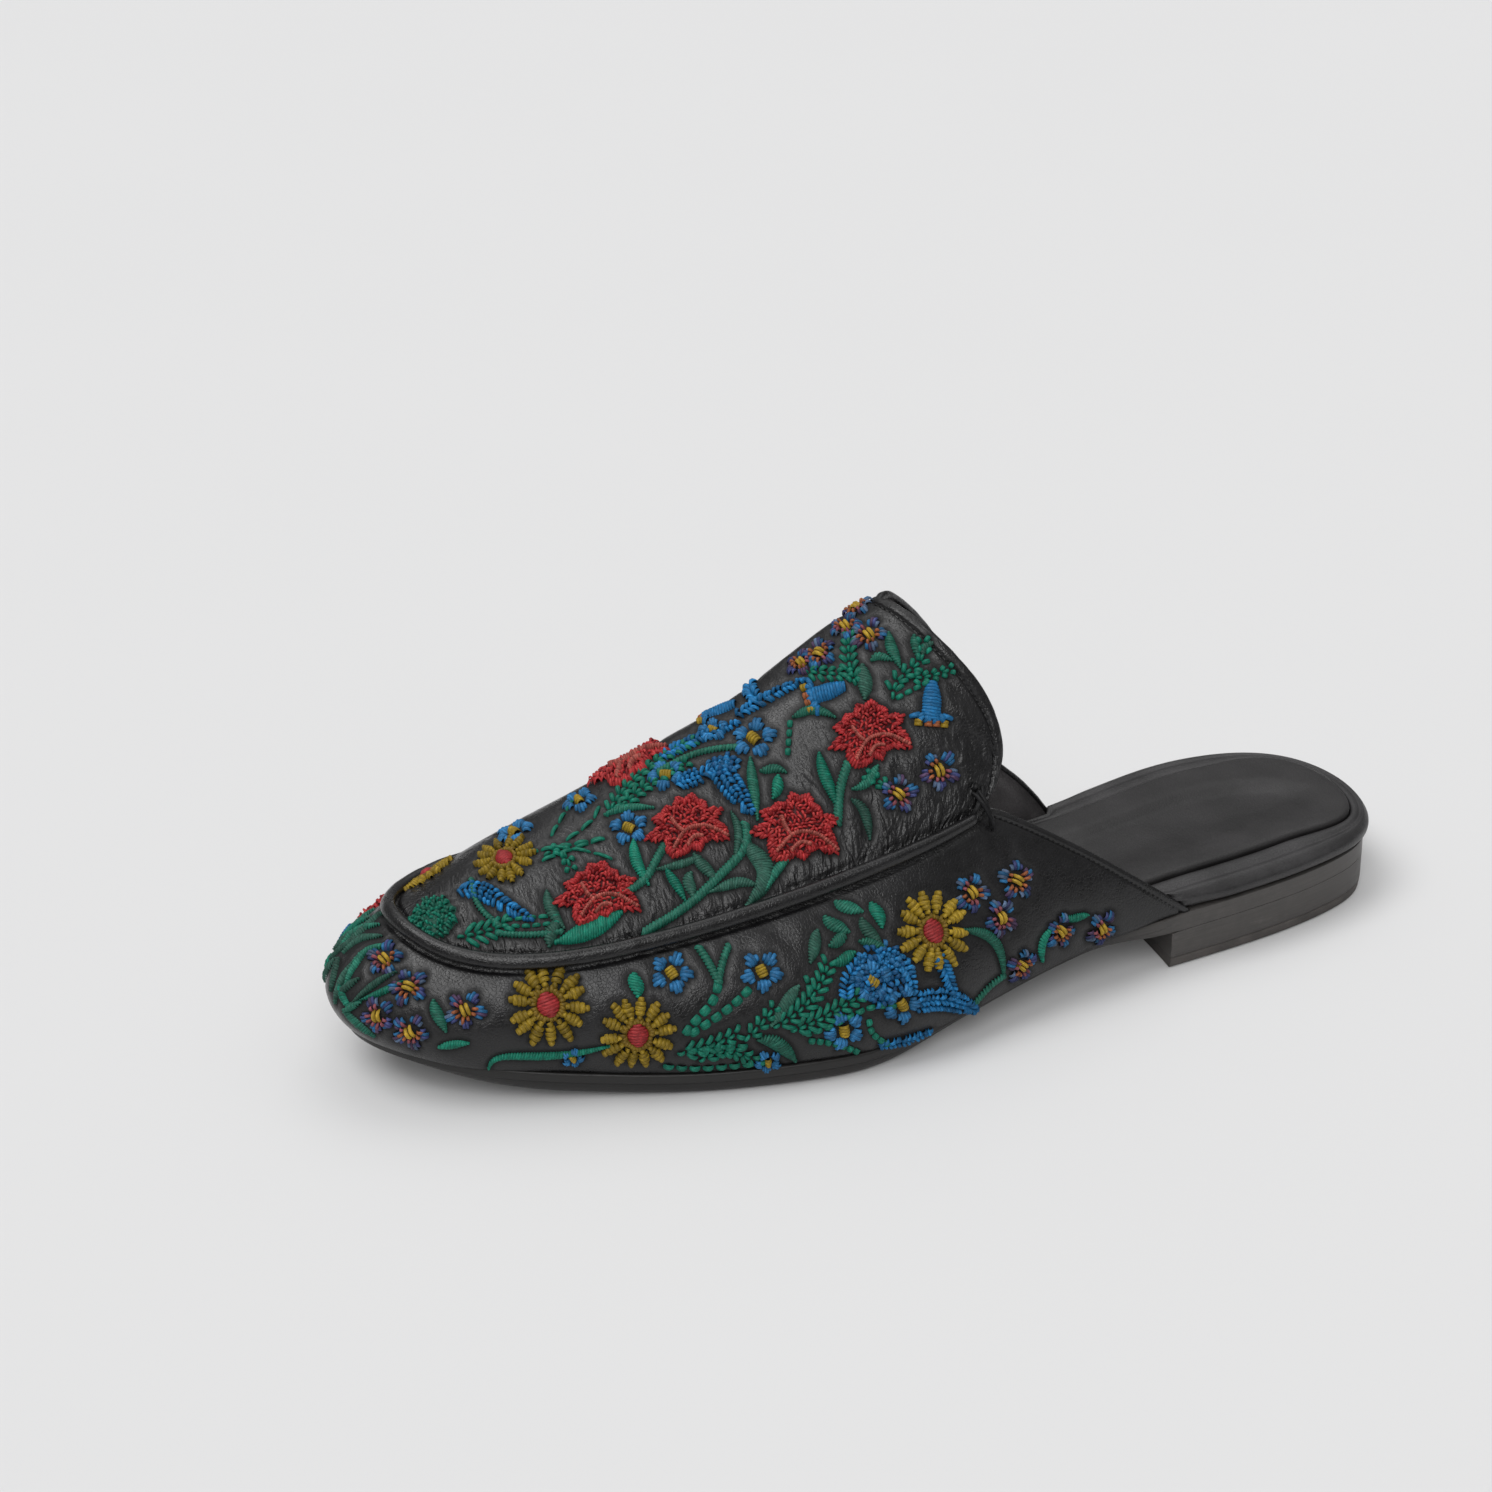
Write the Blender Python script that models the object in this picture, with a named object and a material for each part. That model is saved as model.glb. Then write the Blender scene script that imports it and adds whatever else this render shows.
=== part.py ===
"""A backless leather loafer mule, left foot, women's EU 38, standing empty on its sole.

+X runs from the heel to the toe, +Y to the wearer's left (the outer side of this left shoe), +Z up.
The origin is on the floor under the middle of the heel. The tables hold millimetres, with X measured
from the back of the sole, and placed() turns their points into metres from the origin.
"""

import math

import bmesh
import bpy
import numpy as np

MM = 0.001

# Driving dimensions of the shoe, in mm
SOLE_LENGTH = 263.5
HEEL_MIDDLE = 34.0
HEEL_SEAT_HEIGHT = 14.1
BALL_HEIGHT = 5.7
TOE_SPRING = 8.2
SHANK_START = 0.22 * SOLE_LENGTH
SHANK_END = 0.60 * SOLE_LENGTH
SPRING_START = 0.70 * SOLE_LENGTH
BREAST = 68.5
LEATHER = 2.0
SEAT_GAP = 0.3
SMOOTH_ANGLE = math.radians(38)
# Makes the greatest value of climb * (1 - climb)**1.5 into 1, so that a rib's lean is its full lean
LEAN_PEAK = 5.38

# Outsole, heel and footbed, in mm
OUTSOLE_THICKNESS = 4.4
TOE_THINNING = 1.8
TOE_UNDERCUT = 2.6
TOE_START = 0.84 * SOLE_LENGTH
EDGE_BAND = 2.3
EDGE_STEP = 0.5
WELT_REACH = 0.5
TOP_LIFT_HEIGHT = 2.6
HEEL_INSET = 0.3
BREAST_HOLLOW = 1.5
FOOTBED_THICKNESS = 5.6
FOOTBED_NARROWING = 4.2
FOOTBED_OVERHANG = 1.3
PAD_INSET = 3.4
PAD_RECESS = 1.8
PAD_CROWN = 0.9

# Raised seam round the apron, in mm
PIPING_HALF_WIDTH = 1.9
PIPING_HEIGHT = 2.3
PIPING_END = 2

# Where the footbed steps in to pass inside the upper, from the start of each wall, in mm
TUCK = (-8.0, -5.6, -3.4, -1.2)

# Mesh counts
RIBS_PER_SIDE = 34
WALL_ROWS = 7
APRON_ROWS = 8
SIDE_STEPS = 44
ACROSS = 4
HEEL_STEPS = 16

# Outline of the sole: share of the length, outer half width, inner half width (mm)
OUTLINE = np.array([
    (0.02, 17.9, 16.9),
    (0.07, 26.2, 26.3),
    (0.16, 31.5, 27.6),
    (0.30, 35.2, 20.5),
    (0.42, 40.0, 26.2),
    (0.55, 47.1, 29.2),
    (0.66, 45.1, 39.8),
    (0.76, 38.0, 42.0),
    (0.86, 28.6, 33.2),
    (0.94, 20.4, 24.8),
])
TOE_TIP_Y = -1.7

# Ridge of the instep, from the edge of the tongue to the front of the apron: x, y, z (mm)
RIDGE = np.array([
    (126.5, -8.0, 90.4),
    (136.0, -9.0, 85.9),
    (150.0, -9.3, 78.0),
    (165.0, -9.3, 69.4),
    (180.0, -9.0, 63.5),
    (195.0, -8.5, 57.5),
    (210.0, -7.5, 52.5),
    (225.0, -6.0, 47.5),
    (236.0, -4.4, 43.2),
    (244.0, -3.4, 39.8),
])

# Ribs of the upper, from the back of one side round the toe to the back of the other. Columns:
# x where the foot of the rib stands on the sole's edge; the apron seam's x, y, z; x of the ridge point;
# swell of the wall above its foot; rise of the foot's handle, as a share of the wall's height; reach of
# the brow under the seam; drop of the brow's handle, as a share of the height; dome exponent of the
# apron; backward lean of the apron rib (mm)
OUTER_RIBS = np.array([
    (63.7, 115.5, 26.8, 50.2, 126.5, 1.0, 0.40, 2.5, 0.26, 2.20, 8.2),
    (84.0, 121.0, 28.5, 48.6, 130.8, 2.0, 0.40, 4.0, 0.24, 2.10, 7.2),
    (106.0, 131.0, 30.0, 46.3, 138.2, 3.0, 0.40, 5.5, 0.22, 2.00, 5.0),
    (130.0, 145.0, 30.5, 43.3, 150.0, 3.8, 0.40, 7.0, 0.20, 1.90, 2.5),
    (155.0, 163.0, 30.2, 39.8, 165.0, 4.2, 0.40, 8.0, 0.18, 1.85, 0.7),
    (180.0, 183.0, 29.2, 36.7, 183.0, 4.4, 0.42, 8.0, 0.18, 1.85, 0.0),
    (203.0, 203.0, 27.0, 34.2, 201.0, 5.2, 0.44, 7.5, 0.18, 1.90, 0.0),
    (224.0, 220.5, 23.5, 32.8, 217.5, 4.6, 0.46, 6.5, 0.18, 1.95, 0.0),
    (242.0, 235.0, 17.8, 33.0, 230.0, 5.4, 0.48, 5.5, 0.18, 1.90, 0.0),
    (255.5, 245.2, 9.0, 35.0, 239.0, 7.6, 0.50, 5.5, 0.18, 1.85, 0.0),
])
TOE_RIB = np.array([(263.5, 249.8, -3.4, 37.4, 244.0, 9.4, 0.50, 6.5, 0.18, 1.80, 0.0)])
INNER_RIBS = np.array([
    (71.0, 113.5, -21.3, 49.0, 126.5, 0.0, 0.66, 1.5, 0.22, 2.40, 10.4),
    (86.0, 119.5, -22.0, 48.1, 130.8, 1.0, 0.56, 2.5, 0.24, 2.50, 9.0),
    (106.0, 129.5, -22.6, 46.3, 138.2, 2.0, 0.46, 3.5, 0.24, 2.55, 6.0),
    (130.0, 144.0, -23.0, 43.7, 150.0, 2.8, 0.40, 4.5, 0.24, 2.50, 2.8),
    (155.0, 162.0, -23.8, 40.5, 165.0, 3.4, 0.40, 5.5, 0.22, 2.45, 0.7),
    (180.0, 182.0, -25.0, 37.5, 183.0, 4.2, 0.42, 6.5, 0.20, 2.40, 0.0),
    (203.0, 202.0, -25.9, 35.4, 201.0, 5.2, 0.44, 6.5, 0.18, 2.30, 0.0),
    (224.0, 220.5, -25.6, 34.5, 217.5, 4.6, 0.46, 6.0, 0.18, 2.15, 0.0),
    (242.0, 235.5, -22.0, 35.0, 230.0, 5.4, 0.48, 5.5, 0.18, 2.00, 0.0),
    (255.5, 245.7, -14.2, 36.2, 239.0, 7.6, 0.50, 5.5, 0.18, 1.90, 0.0),
])


def clear_scene():
    for scene_object in list(bpy.data.objects):
        bpy.data.objects.remove(scene_object, do_unlink=True)


def material(name, colour, roughness, metallic=0.0):
    made = bpy.data.materials.new(name)
    made.use_nodes = True
    shader = made.node_tree.nodes["Principled BSDF"]
    shader.inputs["Base Color"].default_value = (*colour, 1.0)
    shader.inputs["Roughness"].default_value = roughness
    shader.inputs["Metallic"].default_value = metallic
    return made


def placed(points):
    """Table points in mm, as metres from the origin under the heel."""
    return (np.asarray(points, float) - (HEEL_MIDDLE, 0.0, 0.0)) * MM


def add_solid(name, points, faces, finish):
    """An object of these points (mm) and faces, turned to face out and shaded smooth between creases."""
    mesh = bpy.data.meshes.new(name)
    mesh.from_pydata(placed(points).tolist(), [], faces)
    shape = bmesh.new()
    shape.from_mesh(mesh)
    bmesh.ops.recalc_face_normals(shape, faces=shape.faces)
    shape.to_mesh(mesh)
    shape.free()
    mesh.shade_smooth()
    mesh.set_sharp_from_angle(angle=SMOOTH_ANGLE)
    mesh.materials.append(finish)
    solid = bpy.data.objects.new(name, mesh)
    bpy.context.scene.collection.objects.link(solid)
    return solid


def unit(vectors):
    vectors = np.asarray(vectors, float)
    return vectors / np.linalg.norm(vectors, axis=-1, keepdims=True)


def spline(knots, values, at, closed=False):
    """Smooth cubic curve through the rows of values at the knots, read at the places in at."""
    knots = np.asarray(knots, float)
    values = np.asarray(values, float).reshape(len(knots), -1)
    step = np.diff(knots)
    rise = np.diff(values, axis=0) / step[:, None]
    last = len(knots) - 1
    system = np.eye(last + 1)
    bend = np.zeros_like(values)
    for i in range(1, last):
        system[i, i - 1:i + 2] = step[i - 1], 2 * (step[i - 1] + step[i]), step[i]
        bend[i] = 6 * (rise[i] - rise[i - 1])
    if closed:
        system[0, :2] = 2 * (step[0] + step[-1]), step[0]
        system[0, last - 1] = step[-1]
        bend[0] = 6 * (rise[0] - rise[-1])
        system[last, 0] = -1
    curve = np.linalg.solve(system, bend)
    at = np.asarray(at, float)
    i = np.clip(np.searchsorted(knots, at, side="right") - 1, 0, last - 1)
    width = step[i][:, None]
    before = (knots[i + 1] - at)[:, None]
    after = (at - knots[i])[:, None]
    return (
        (curve[i] * before**3 + curve[i + 1] * after**3) / (6 * width)
        + (values[i] / width - curve[i] * width / 6) * before
        + (values[i + 1] / width - curve[i + 1] * width / 6) * after
    )


def lengths_along(points):
    """Distance along a line of points, from 0 at its start."""
    return np.concatenate([[0.0], np.cumsum(np.linalg.norm(np.diff(points, axis=0), axis=1))])


def resampled(points, at):
    """The line of points read at these distances along it."""
    along = lengths_along(points)
    return np.stack([np.interp(at, along, column) for column in points.T], axis=1)


def sole_sides(fine=400):
    """The outer and the inner half of the sole's outline, as fine lines from the heel's back to the toe."""
    x = OUTLINE[:, 0] * SOLE_LENGTH
    outer = np.column_stack([x, OUTLINE[:, 1]])
    inner = np.column_stack([x, -OUTLINE[:, 2]])[::-1]
    corners = np.vstack([(0.0, 0.0), outer, (SOLE_LENGTH, TOE_TIP_Y), inner, (0.0, 0.0)])
    knots = np.concatenate([[0.0], np.cumsum(np.linalg.norm(np.diff(corners, axis=0), axis=1) ** 0.5)])
    loop = spline(knots, corners, np.linspace(0.0, knots[-1], fine), closed=True)
    tip = int(loop[:, 0].argmax())
    return loop[: tip + 1], loop[tip:][::-1]


OUTER_SIDE, INNER_SIDE = sole_sides()


def edge_line(side, at):
    """Points on one side of the outline this far from the heel's back, and their outward directions."""
    line = resampled(side, at)
    ahead = resampled(side, at + 0.5) - resampled(side, at - 0.5)
    outward = unit(np.column_stack([-ahead[:, 1], ahead[:, 0]]))
    if side is INNER_SIDE:
        outward = -outward
    outward[at <= 0] = (-1.0, 0.0)
    outward[at >= lengths_along(side)[-1]] = (1.0, 0.0)
    return line, outward


def sole_stations(side, wall_start):
    """Distances along one side: closer at the heel and the toe, and closest where the footbed steps in."""
    along = lengths_along(side)
    share = np.linspace(0.0, 1.0, SIDE_STEPS - len(TUCK) + 1)
    share = (share + (1 - np.cos(math.pi * share)) / 2) / 2
    tuck = np.interp(wall_start + np.array(TUCK), side[:, 0], along)
    return np.sort(np.concatenate([along[-1] * share, tuck]))


def smooth_step(x, start, end):
    share = np.clip((np.asarray(x, float) - start) / (end - start), 0.0, 1.0)
    return share * share * (3 - 2 * share)


def seat_height(x):
    """Top of the outsole: flat under the heel, down the shank, flat at the ball, up at the toe."""
    spring = np.clip((np.asarray(x, float) - SPRING_START) / (SOLE_LENGTH - SPRING_START), 0.0, 1.1)
    shank = smooth_step(x, SHANK_START, SHANK_END)
    return HEEL_SEAT_HEIGHT + (BALL_HEIGHT - HEEL_SEAT_HEIGHT) * shank + TOE_SPRING * spring**2


def sole_bottom(x):
    """Underside of the outsole: thin at the heel, the full height at the ball, thinner at the toe."""
    thickness = OUTSOLE_THICKNESS + (BALL_HEIGHT - OUTSOLE_THICKNESS) * smooth_step(x, BREAST, SHANK_END)
    return seat_height(x) - thickness + TOE_THINNING * smooth_step(x, TOE_START, SOLE_LENGTH)


def ring_of(lines, front=()):
    """One closed ring: up the outer line, across the front end, and back down the inner line."""
    outer, inner = lines
    back = inner[:0:-1] if len(front) else inner[-2:0:-1]
    return np.vstack([outer, np.reshape(front, (-1, 3)), back])


def sole_ring(inset, height):
    """A ring round the whole sole. inset(x, wall_start) moves it in, and height(x) gives its level."""
    lines = []
    for side, wall_start in ((OUTER_SIDE, OUTER_RIBS[0, 0]), (INNER_SIDE, INNER_RIBS[0, 0])):
        line, outward = edge_line(side, sole_stations(side, wall_start))
        shift = np.broadcast_to(inset(line[:, 0], wall_start), len(line))
        moved = line - outward * shift[:, None]
        lines.append(np.column_stack([moved, height(moved[:, 0])]))
    return ring_of(lines)


def heel_ring(inset, height):
    """A ring round the heel, closed in front by the hollowed breast."""
    lines = []
    for side in (OUTER_SIDE, INNER_SIDE):
        line, outward = edge_line(side, lengths_along(side))
        moved = line - outward * inset
        front_end = np.interp(BREAST, moved[:, 0], lengths_along(moved))
        moved = resampled(moved, np.linspace(0.0, front_end, HEEL_STEPS + 1))
        lines.append(np.column_stack([moved, height(moved[:, 0])]))
    lines[1][0] = lines[0][0]
    share = np.linspace(0.0, 1.0, ACROSS + 1)[1:-1, None]
    front = lines[0][-1] * (1 - share) + lines[1][-1] * share
    front[:, :1] -= BREAST_HOLLOW * 4 * share * (1 - share)
    front[:, 2] = height(front[:, 0])
    return ring_of(lines, front)


def cap(points, faces, ring, steps, height):
    """Closes a ring with strips from its outer to its inner side, at the surface's height there."""
    rows = [[ring[0]] * (ACROSS + 1)]
    for step in range(1, steps):
        outer = ring[step]
        inner = ring[-step]
        row = [outer]
        for share in np.linspace(0.0, 1.0, ACROSS + 1)[1:-1]:
            spot = points[outer] * (1 - share) + points[inner] * share
            row.append(len(points))
            points.append(np.array([spot[0], spot[1], height(spot[0])]))
        rows.append(row + [inner])
    at_tip = len(ring) == 2 * steps
    rows.append([ring[steps]] * (ACROSS + 1) if at_tip else ring[steps:steps + ACROSS + 1])
    for near, far in zip(rows, rows[1:]):
        for k in range(ACROSS):
            faces.append(list(dict.fromkeys([near[k], near[k + 1], far[k + 1], far[k]])))


def plate(name, rings, steps, bottom, top, finish):
    """A solid between stacked rings, with its two ends closed at the heights bottom(x) and top(x)."""
    points = [point for ring in rings for point in ring]
    count = len(rings[0])
    loops = [list(range(level * count, (level + 1) * count)) for level in range(len(rings))]
    faces = []
    for low, high in zip(loops, loops[1:]):
        for k in range(count):
            after = (k + 1) % count
            faces.append([low[k], low[after], high[after], high[k]])
    cap(points, faces, loops[0], steps, bottom)
    cap(points, faces, loops[-1], steps, top)
    return add_solid(name, points, faces, finish)


def rib_stations(count):
    """The rib table read at count places, from the outer back end round the toe to the inner one."""
    table = np.vstack([OUTER_RIBS, TOE_RIB, INNER_RIBS[::-1]])
    outer_along = lengths_along(OUTER_SIDE)
    inner_along = lengths_along(INNER_SIDE)
    whole = outer_along[-1] + inner_along[-1]
    rows = len(OUTER_RIBS)
    table[:rows, 0] = np.interp(OUTER_RIBS[:, 0], OUTER_SIDE[:, 0], outer_along)
    table[rows, 0] = outer_along[-1]
    table[rows + 1:, 0] = whole - np.interp(INNER_RIBS[::-1, 0], INNER_SIDE[:, 0], inner_along)
    return spline(np.arange(len(table)), table, np.linspace(0.0, len(table) - 1.0, count))


def foot_of_ribs(around):
    """Points and outward directions on the sole's outline at these distances from the heel's back."""
    loop = np.vstack([OUTER_SIDE, INNER_SIDE[-2::-1]])
    spots = resampled(loop, around)
    ahead = resampled(loop, around + 1.0) - resampled(loop, around - 1.0)
    return spots, unit(np.column_stack([-ahead[:, 1], ahead[:, 0]]))


def wall_line(foot, outward, seam, swell, rise, reach, drop, fine=25):
    """One rib of the side wall, a cubic curve from the sole's edge up to the apron seam."""
    height = seam[2] - foot[2]
    across = seam[:2] - foot[:2]
    drift = across - outward * (across @ outward)
    low = np.append(foot[:2] + drift / 3 + outward * swell, foot[2] + rise * height)
    high = np.append(seam[:2] - drift / 3 + outward * reach, seam[2] - drop * height)
    t = np.linspace(0.0, 1.0, fine)[:, None]
    s = 1 - t
    return s**3 * foot + 3 * s * s * t * low + 3 * s * t * t * high + t**3 * seam


def apron_line(seam, ridge, slope, dome, lean, fine=33):
    """One rib of the apron, from its seam to the ridge, level across the ridge and leaning back low down."""
    plan = ridge[:2] - seam[:2]
    share = 1 - (1 - np.linspace(0.0, 1.0, fine)[:, None]) ** 1.5
    climb = 1 - (1 - share) ** dome
    ramp = slope * plan[0]
    rise = ridge[2] - seam[2]
    spots = seam[:2] + plan * share
    spots[:, :1] -= lean * LEAN_PEAK * climb * (1 - climb) ** 1.5
    return np.column_stack([spots, seam[2] + ramp * share + (rise - ramp) * climb])


def upper_grid():
    """Outside of the upper as ribs of points: rows from the sole's edge to the seam, then to the ridge."""
    count = 2 * RIBS_PER_SIDE + 1
    ribs = rib_stations(count)
    feet, outward = foot_of_ribs(ribs[:, 0])
    feet = np.column_stack([feet, seat_height(feet[:, 0]) + SEAT_GAP])
    ridge_x = (ribs[:, 4] + ribs[::-1, 4]) / 2
    ridge = np.column_stack([ridge_x, spline(RIDGE[:, 0], RIDGE[:, 1:], ridge_x)])
    ridge_z = spline(RIDGE[:, 0], RIDGE[:, 2], np.concatenate([ridge_x + 0.5, ridge_x - 0.5]))[:, 0]
    slope = ridge_z[:count] - ridge_z[count:]
    grid = []
    for i, rib in enumerate(ribs):
        seam = rib[1:4]
        wall = wall_line(feet[i], outward[i], seam, *rib[5:9])
        apron = apron_line(seam, ridge[i], slope[i], rib[9], rib[10])
        wall_length = lengths_along(wall)[-1]
        apron_length = lengths_along(apron)[-1]
        wall_rows = np.append(np.linspace(0.0, wall_length - PIPING_HALF_WIDTH, WALL_ROWS), wall_length)
        apron_rows = np.linspace(PIPING_HALF_WIDTH, apron_length, APRON_ROWS)
        grid.append(np.vstack([resampled(wall, wall_rows), resampled(apron, apron_rows)]))
    return np.array(grid), outward


def grid_index(i, row, ribs, rows):
    """Index of a grid point, where the two ribs that meet on the ridge share their last point."""
    if row == rows - 1:
        i = min(i, ribs - 1 - i)
    return i * rows + row


def surface_normals(points, faces):
    normals = np.zeros_like(points)
    for face in faces:
        a, b, c, d = points[face]
        normals[face] += np.cross(c - a, d - b)
    lengths = np.linalg.norm(normals, axis=1, keepdims=True)
    return normals / np.maximum(lengths, 1e-9)


def upper_surface():
    """Points, quads and normals of the upper's outside, with its grid's numbers of ribs and rows."""
    grid, outward = upper_grid()
    ribs, rows = grid.shape[:2]
    points = grid.reshape(-1, 3)
    faces = []
    for i in range(ribs - 1):
        for row in range(rows - 1):
            corners = ((i, row), (i, row + 1), (i + 1, row + 1), (i + 1, row))
            faces.append([grid_index(*corner, ribs, rows) for corner in corners])
    normals = surface_normals(points, faces)
    return points, faces, normals, outward, ribs, rows


def build_upper(finish):
    """The upper as one wall: its outside, the same surface LEATHER deeper, and a rim that joins them."""
    points, faces, normals, outward, ribs, rows = upper_surface()
    inside = points - normals * LEATHER
    for i in range(ribs):
        foot = points[i * rows]
        inside[i * rows] = foot - np.append(outward[i], 0.0) * LEATHER
    shift = len(points)
    solid_faces = faces + [[index + shift for index in face[::-1]] for face in faces]
    edge = [grid_index(0, row, ribs, rows) for row in range(rows)]
    edge += [grid_index(ribs - 1, row, ribs, rows) for row in range(rows - 2, -1, -1)]
    edge += [grid_index(i, 0, ribs, rows) for i in range(ribs - 2, 0, -1)]
    for here, after in zip(edge, edge[1:] + edge[:1]):
        solid_faces.append([here, after, after + shift, here + shift])
    used = sorted({index for face in solid_faces for index in face})
    renumbered = {old: new for new, old in enumerate(used)}
    both = np.vstack([points, inside])[used]
    solid_faces = [[renumbered[index] for index in face] for face in solid_faces]
    return add_solid("upper", both, solid_faces, finish)


def build_piping(finish):
    """The rolled seam on the apron's edge: a half-round strip lying SEAT_GAP off the upper."""
    points, _, normals, _, ribs, rows = upper_surface()
    lifted = points + normals * SEAT_GAP
    angles = np.radians((150, 120, 90, 60, 30))
    rings = []
    used = range(PIPING_END, ribs - PIPING_END)
    for i in used:
        low, seam, high = (lifted[i * rows + row] for row in (WALL_ROWS - 1, WALL_ROWS, WALL_ROWS + 1))
        middle = (low + high) / 2
        half = (high - low) / 2
        from_end = min(i - used[0], used[-1] - i)
        up = normals[i * rows + WALL_ROWS] * PIPING_HEIGHT * (0.6 + 0.4 * smooth_step(from_end, 0, 2))
        arc = [middle + half * math.cos(angle) + up * math.sin(angle) for angle in angles]
        rings.append([low, *arc, high, seam])
    count = len(rings[0])
    last = (len(rings) - 1) * count
    faces = [list(range(count)), [index + last for index in range(count)][::-1]]
    for near in range(0, last, count):
        far = near + count
        for k in range(count):
            after = (k + 1) % count
            faces.append([near + k, near + after, far + after, far + k])
    return add_solid("apron_piping", [point for ring in rings for point in ring], faces, finish)


def above_seat(rise):
    return lambda x: seat_height(x) + rise


def footbed_inset(rim):
    """Inset of a footbed ring: rim round the heel, and narrower by the upper's wall inside the upper."""
    def inset(x, wall_start):
        inside = smooth_step(x, wall_start + TUCK[0], wall_start + TUCK[-1])
        return rim + FOOTBED_NARROWING * inside

    return inset


def build_footbed(finish):
    """Insole board and foam wrapped in leather: a rounded rim round the heel, and a recess for the pad."""
    top = SEAT_GAP + FOOTBED_THICKNESS
    profile = (
        (0.3, SEAT_GAP),
        (-0.9, SEAT_GAP + 0.8),
        (-FOOTBED_OVERHANG, SEAT_GAP + 2.2),
        (-FOOTBED_OVERHANG + 0.5, top - 1.7),
        (0.3, top - 0.5),
        (1.6, top),
        (PAD_INSET - 0.7, top - 0.3),
        (PAD_INSET, top - PAD_RECESS),
    )
    rings = [sole_ring(footbed_inset(rim), above_seat(rise)) for rim, rise in profile]
    floor = above_seat(SEAT_GAP)
    recess = above_seat(top - PAD_RECESS)
    return plate("footbed", rings, SIDE_STEPS, floor, recess, finish)


def build_pad(finish):
    """The padded insert: its edge rolls down into the groove, and its middle stands a little proud."""
    floor = FOOTBED_THICKNESS - PAD_RECESS + 2 * SEAT_GAP
    rim = FOOTBED_THICKNESS + SEAT_GAP
    profile = (
        (0.6, floor),
        (0.5, rim - 0.6),
        (1.3, rim + PAD_CROWN * 0.45),
        (3.4, rim + PAD_CROWN * 0.9),
        (7.0, rim + PAD_CROWN),
    )
    rings = [sole_ring(footbed_inset(PAD_INSET + inset), above_seat(rise)) for inset, rise in profile]
    return plate("sock_pad", rings, SIDE_STEPS, above_seat(floor), above_seat(rim + PAD_CROWN * 0.8), finish)


def build_outsole(finish):
    """Leather outsole: an upright band that stands EDGE_STEP proud, over an edge cut under at the waist."""
    def past_heel(x):
        return smooth_step(x, BREAST - 4, BREAST + 14)

    def undercut(x, start):
        waist = smooth_step(x, BREAST - 4, BREAST + 30) - smooth_step(x, SHANK_END - 40, SHANK_END + 10)
        toe = smooth_step(x, TOE_START, SOLE_LENGTH)
        return HEEL_INSET - WELT_REACH + (EDGE_STEP + 1.2) * past_heel(x) + 2.6 * waist + TOE_UNDERCUT * toe

    def under_band(x, start):
        return EDGE_STEP * past_heel(x) - WELT_REACH

    rings = [
        sole_ring(undercut, sole_bottom),
        sole_ring(under_band, above_seat(-EDGE_BAND)),
        sole_ring(lambda x, start: -WELT_REACH, above_seat(0.25 - EDGE_BAND)),
        sole_ring(lambda x, start: -WELT_REACH, above_seat(0.0)),
    ]
    return plate("outsole", rings, SIDE_STEPS, sole_bottom, above_seat(0.0), finish)


def build_heel(block_finish, lift_finish):
    """The heel block under the outsole, and the wearing lift under it."""
    def block_top(x):
        return sole_bottom(x) - SEAT_GAP

    def level(height):
        return lambda x: height + 0 * x

    edge = HEEL_INSET - WELT_REACH
    block_bottom = level(TOP_LIFT_HEIGHT + SEAT_GAP)
    rings = [heel_ring(edge, block_bottom), heel_ring(edge, block_top)]
    plate("heel_block", rings, HEEL_STEPS, block_bottom, block_top, block_finish)
    lift_top = level(TOP_LIFT_HEIGHT)
    rings = [heel_ring(edge + 0.3, level(0.0)), heel_ring(edge, lift_top)]
    plate("top_lift", rings, HEEL_STEPS, level(0.0), lift_top, lift_finish)


def main():
    clear_scene()
    leather = material("black leather", (0.022, 0.021, 0.022), 0.45)
    piping_leather = material("black piping leather", (0.018, 0.017, 0.018), 0.38)
    lining = material("black sock leather", (0.026, 0.024, 0.026), 0.5)
    sole_leather = material("blackened sole leather", (0.045, 0.040, 0.038), 0.55)
    heel_leather = material("stacked heel leather", (0.060, 0.054, 0.050), 0.5)
    rubber = material("top lift rubber", (0.030, 0.028, 0.027), 0.7)
    build_upper(leather)
    build_piping(piping_leather)
    build_footbed(lining)
    build_pad(lining)
    build_outsole(sole_leather)
    build_heel(heel_leather, rubber)


main()
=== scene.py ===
"""Looks of a backless black leather loafer mule with raised floral embroidery, left foot, EU 38.

Everything is drawn in the shoe's own sizes: millimetres, X from the back of the sole to the toe,
+Y to the wearer's left (the outer side), +Z up. placed() turns such points into the frame's metres.
A place on the upper is (u, w): u counts the ribs from the outer back edge (0) round the toe (10) to
the inner back edge (20), and w climbs from the sole (0) to the apron seam (1) and the ridge (2).
"""

import math

import bmesh
import bpy
import numpy as np
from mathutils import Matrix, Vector, kdtree, noise
from mathutils.bvhtree import BVHTree


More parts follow.
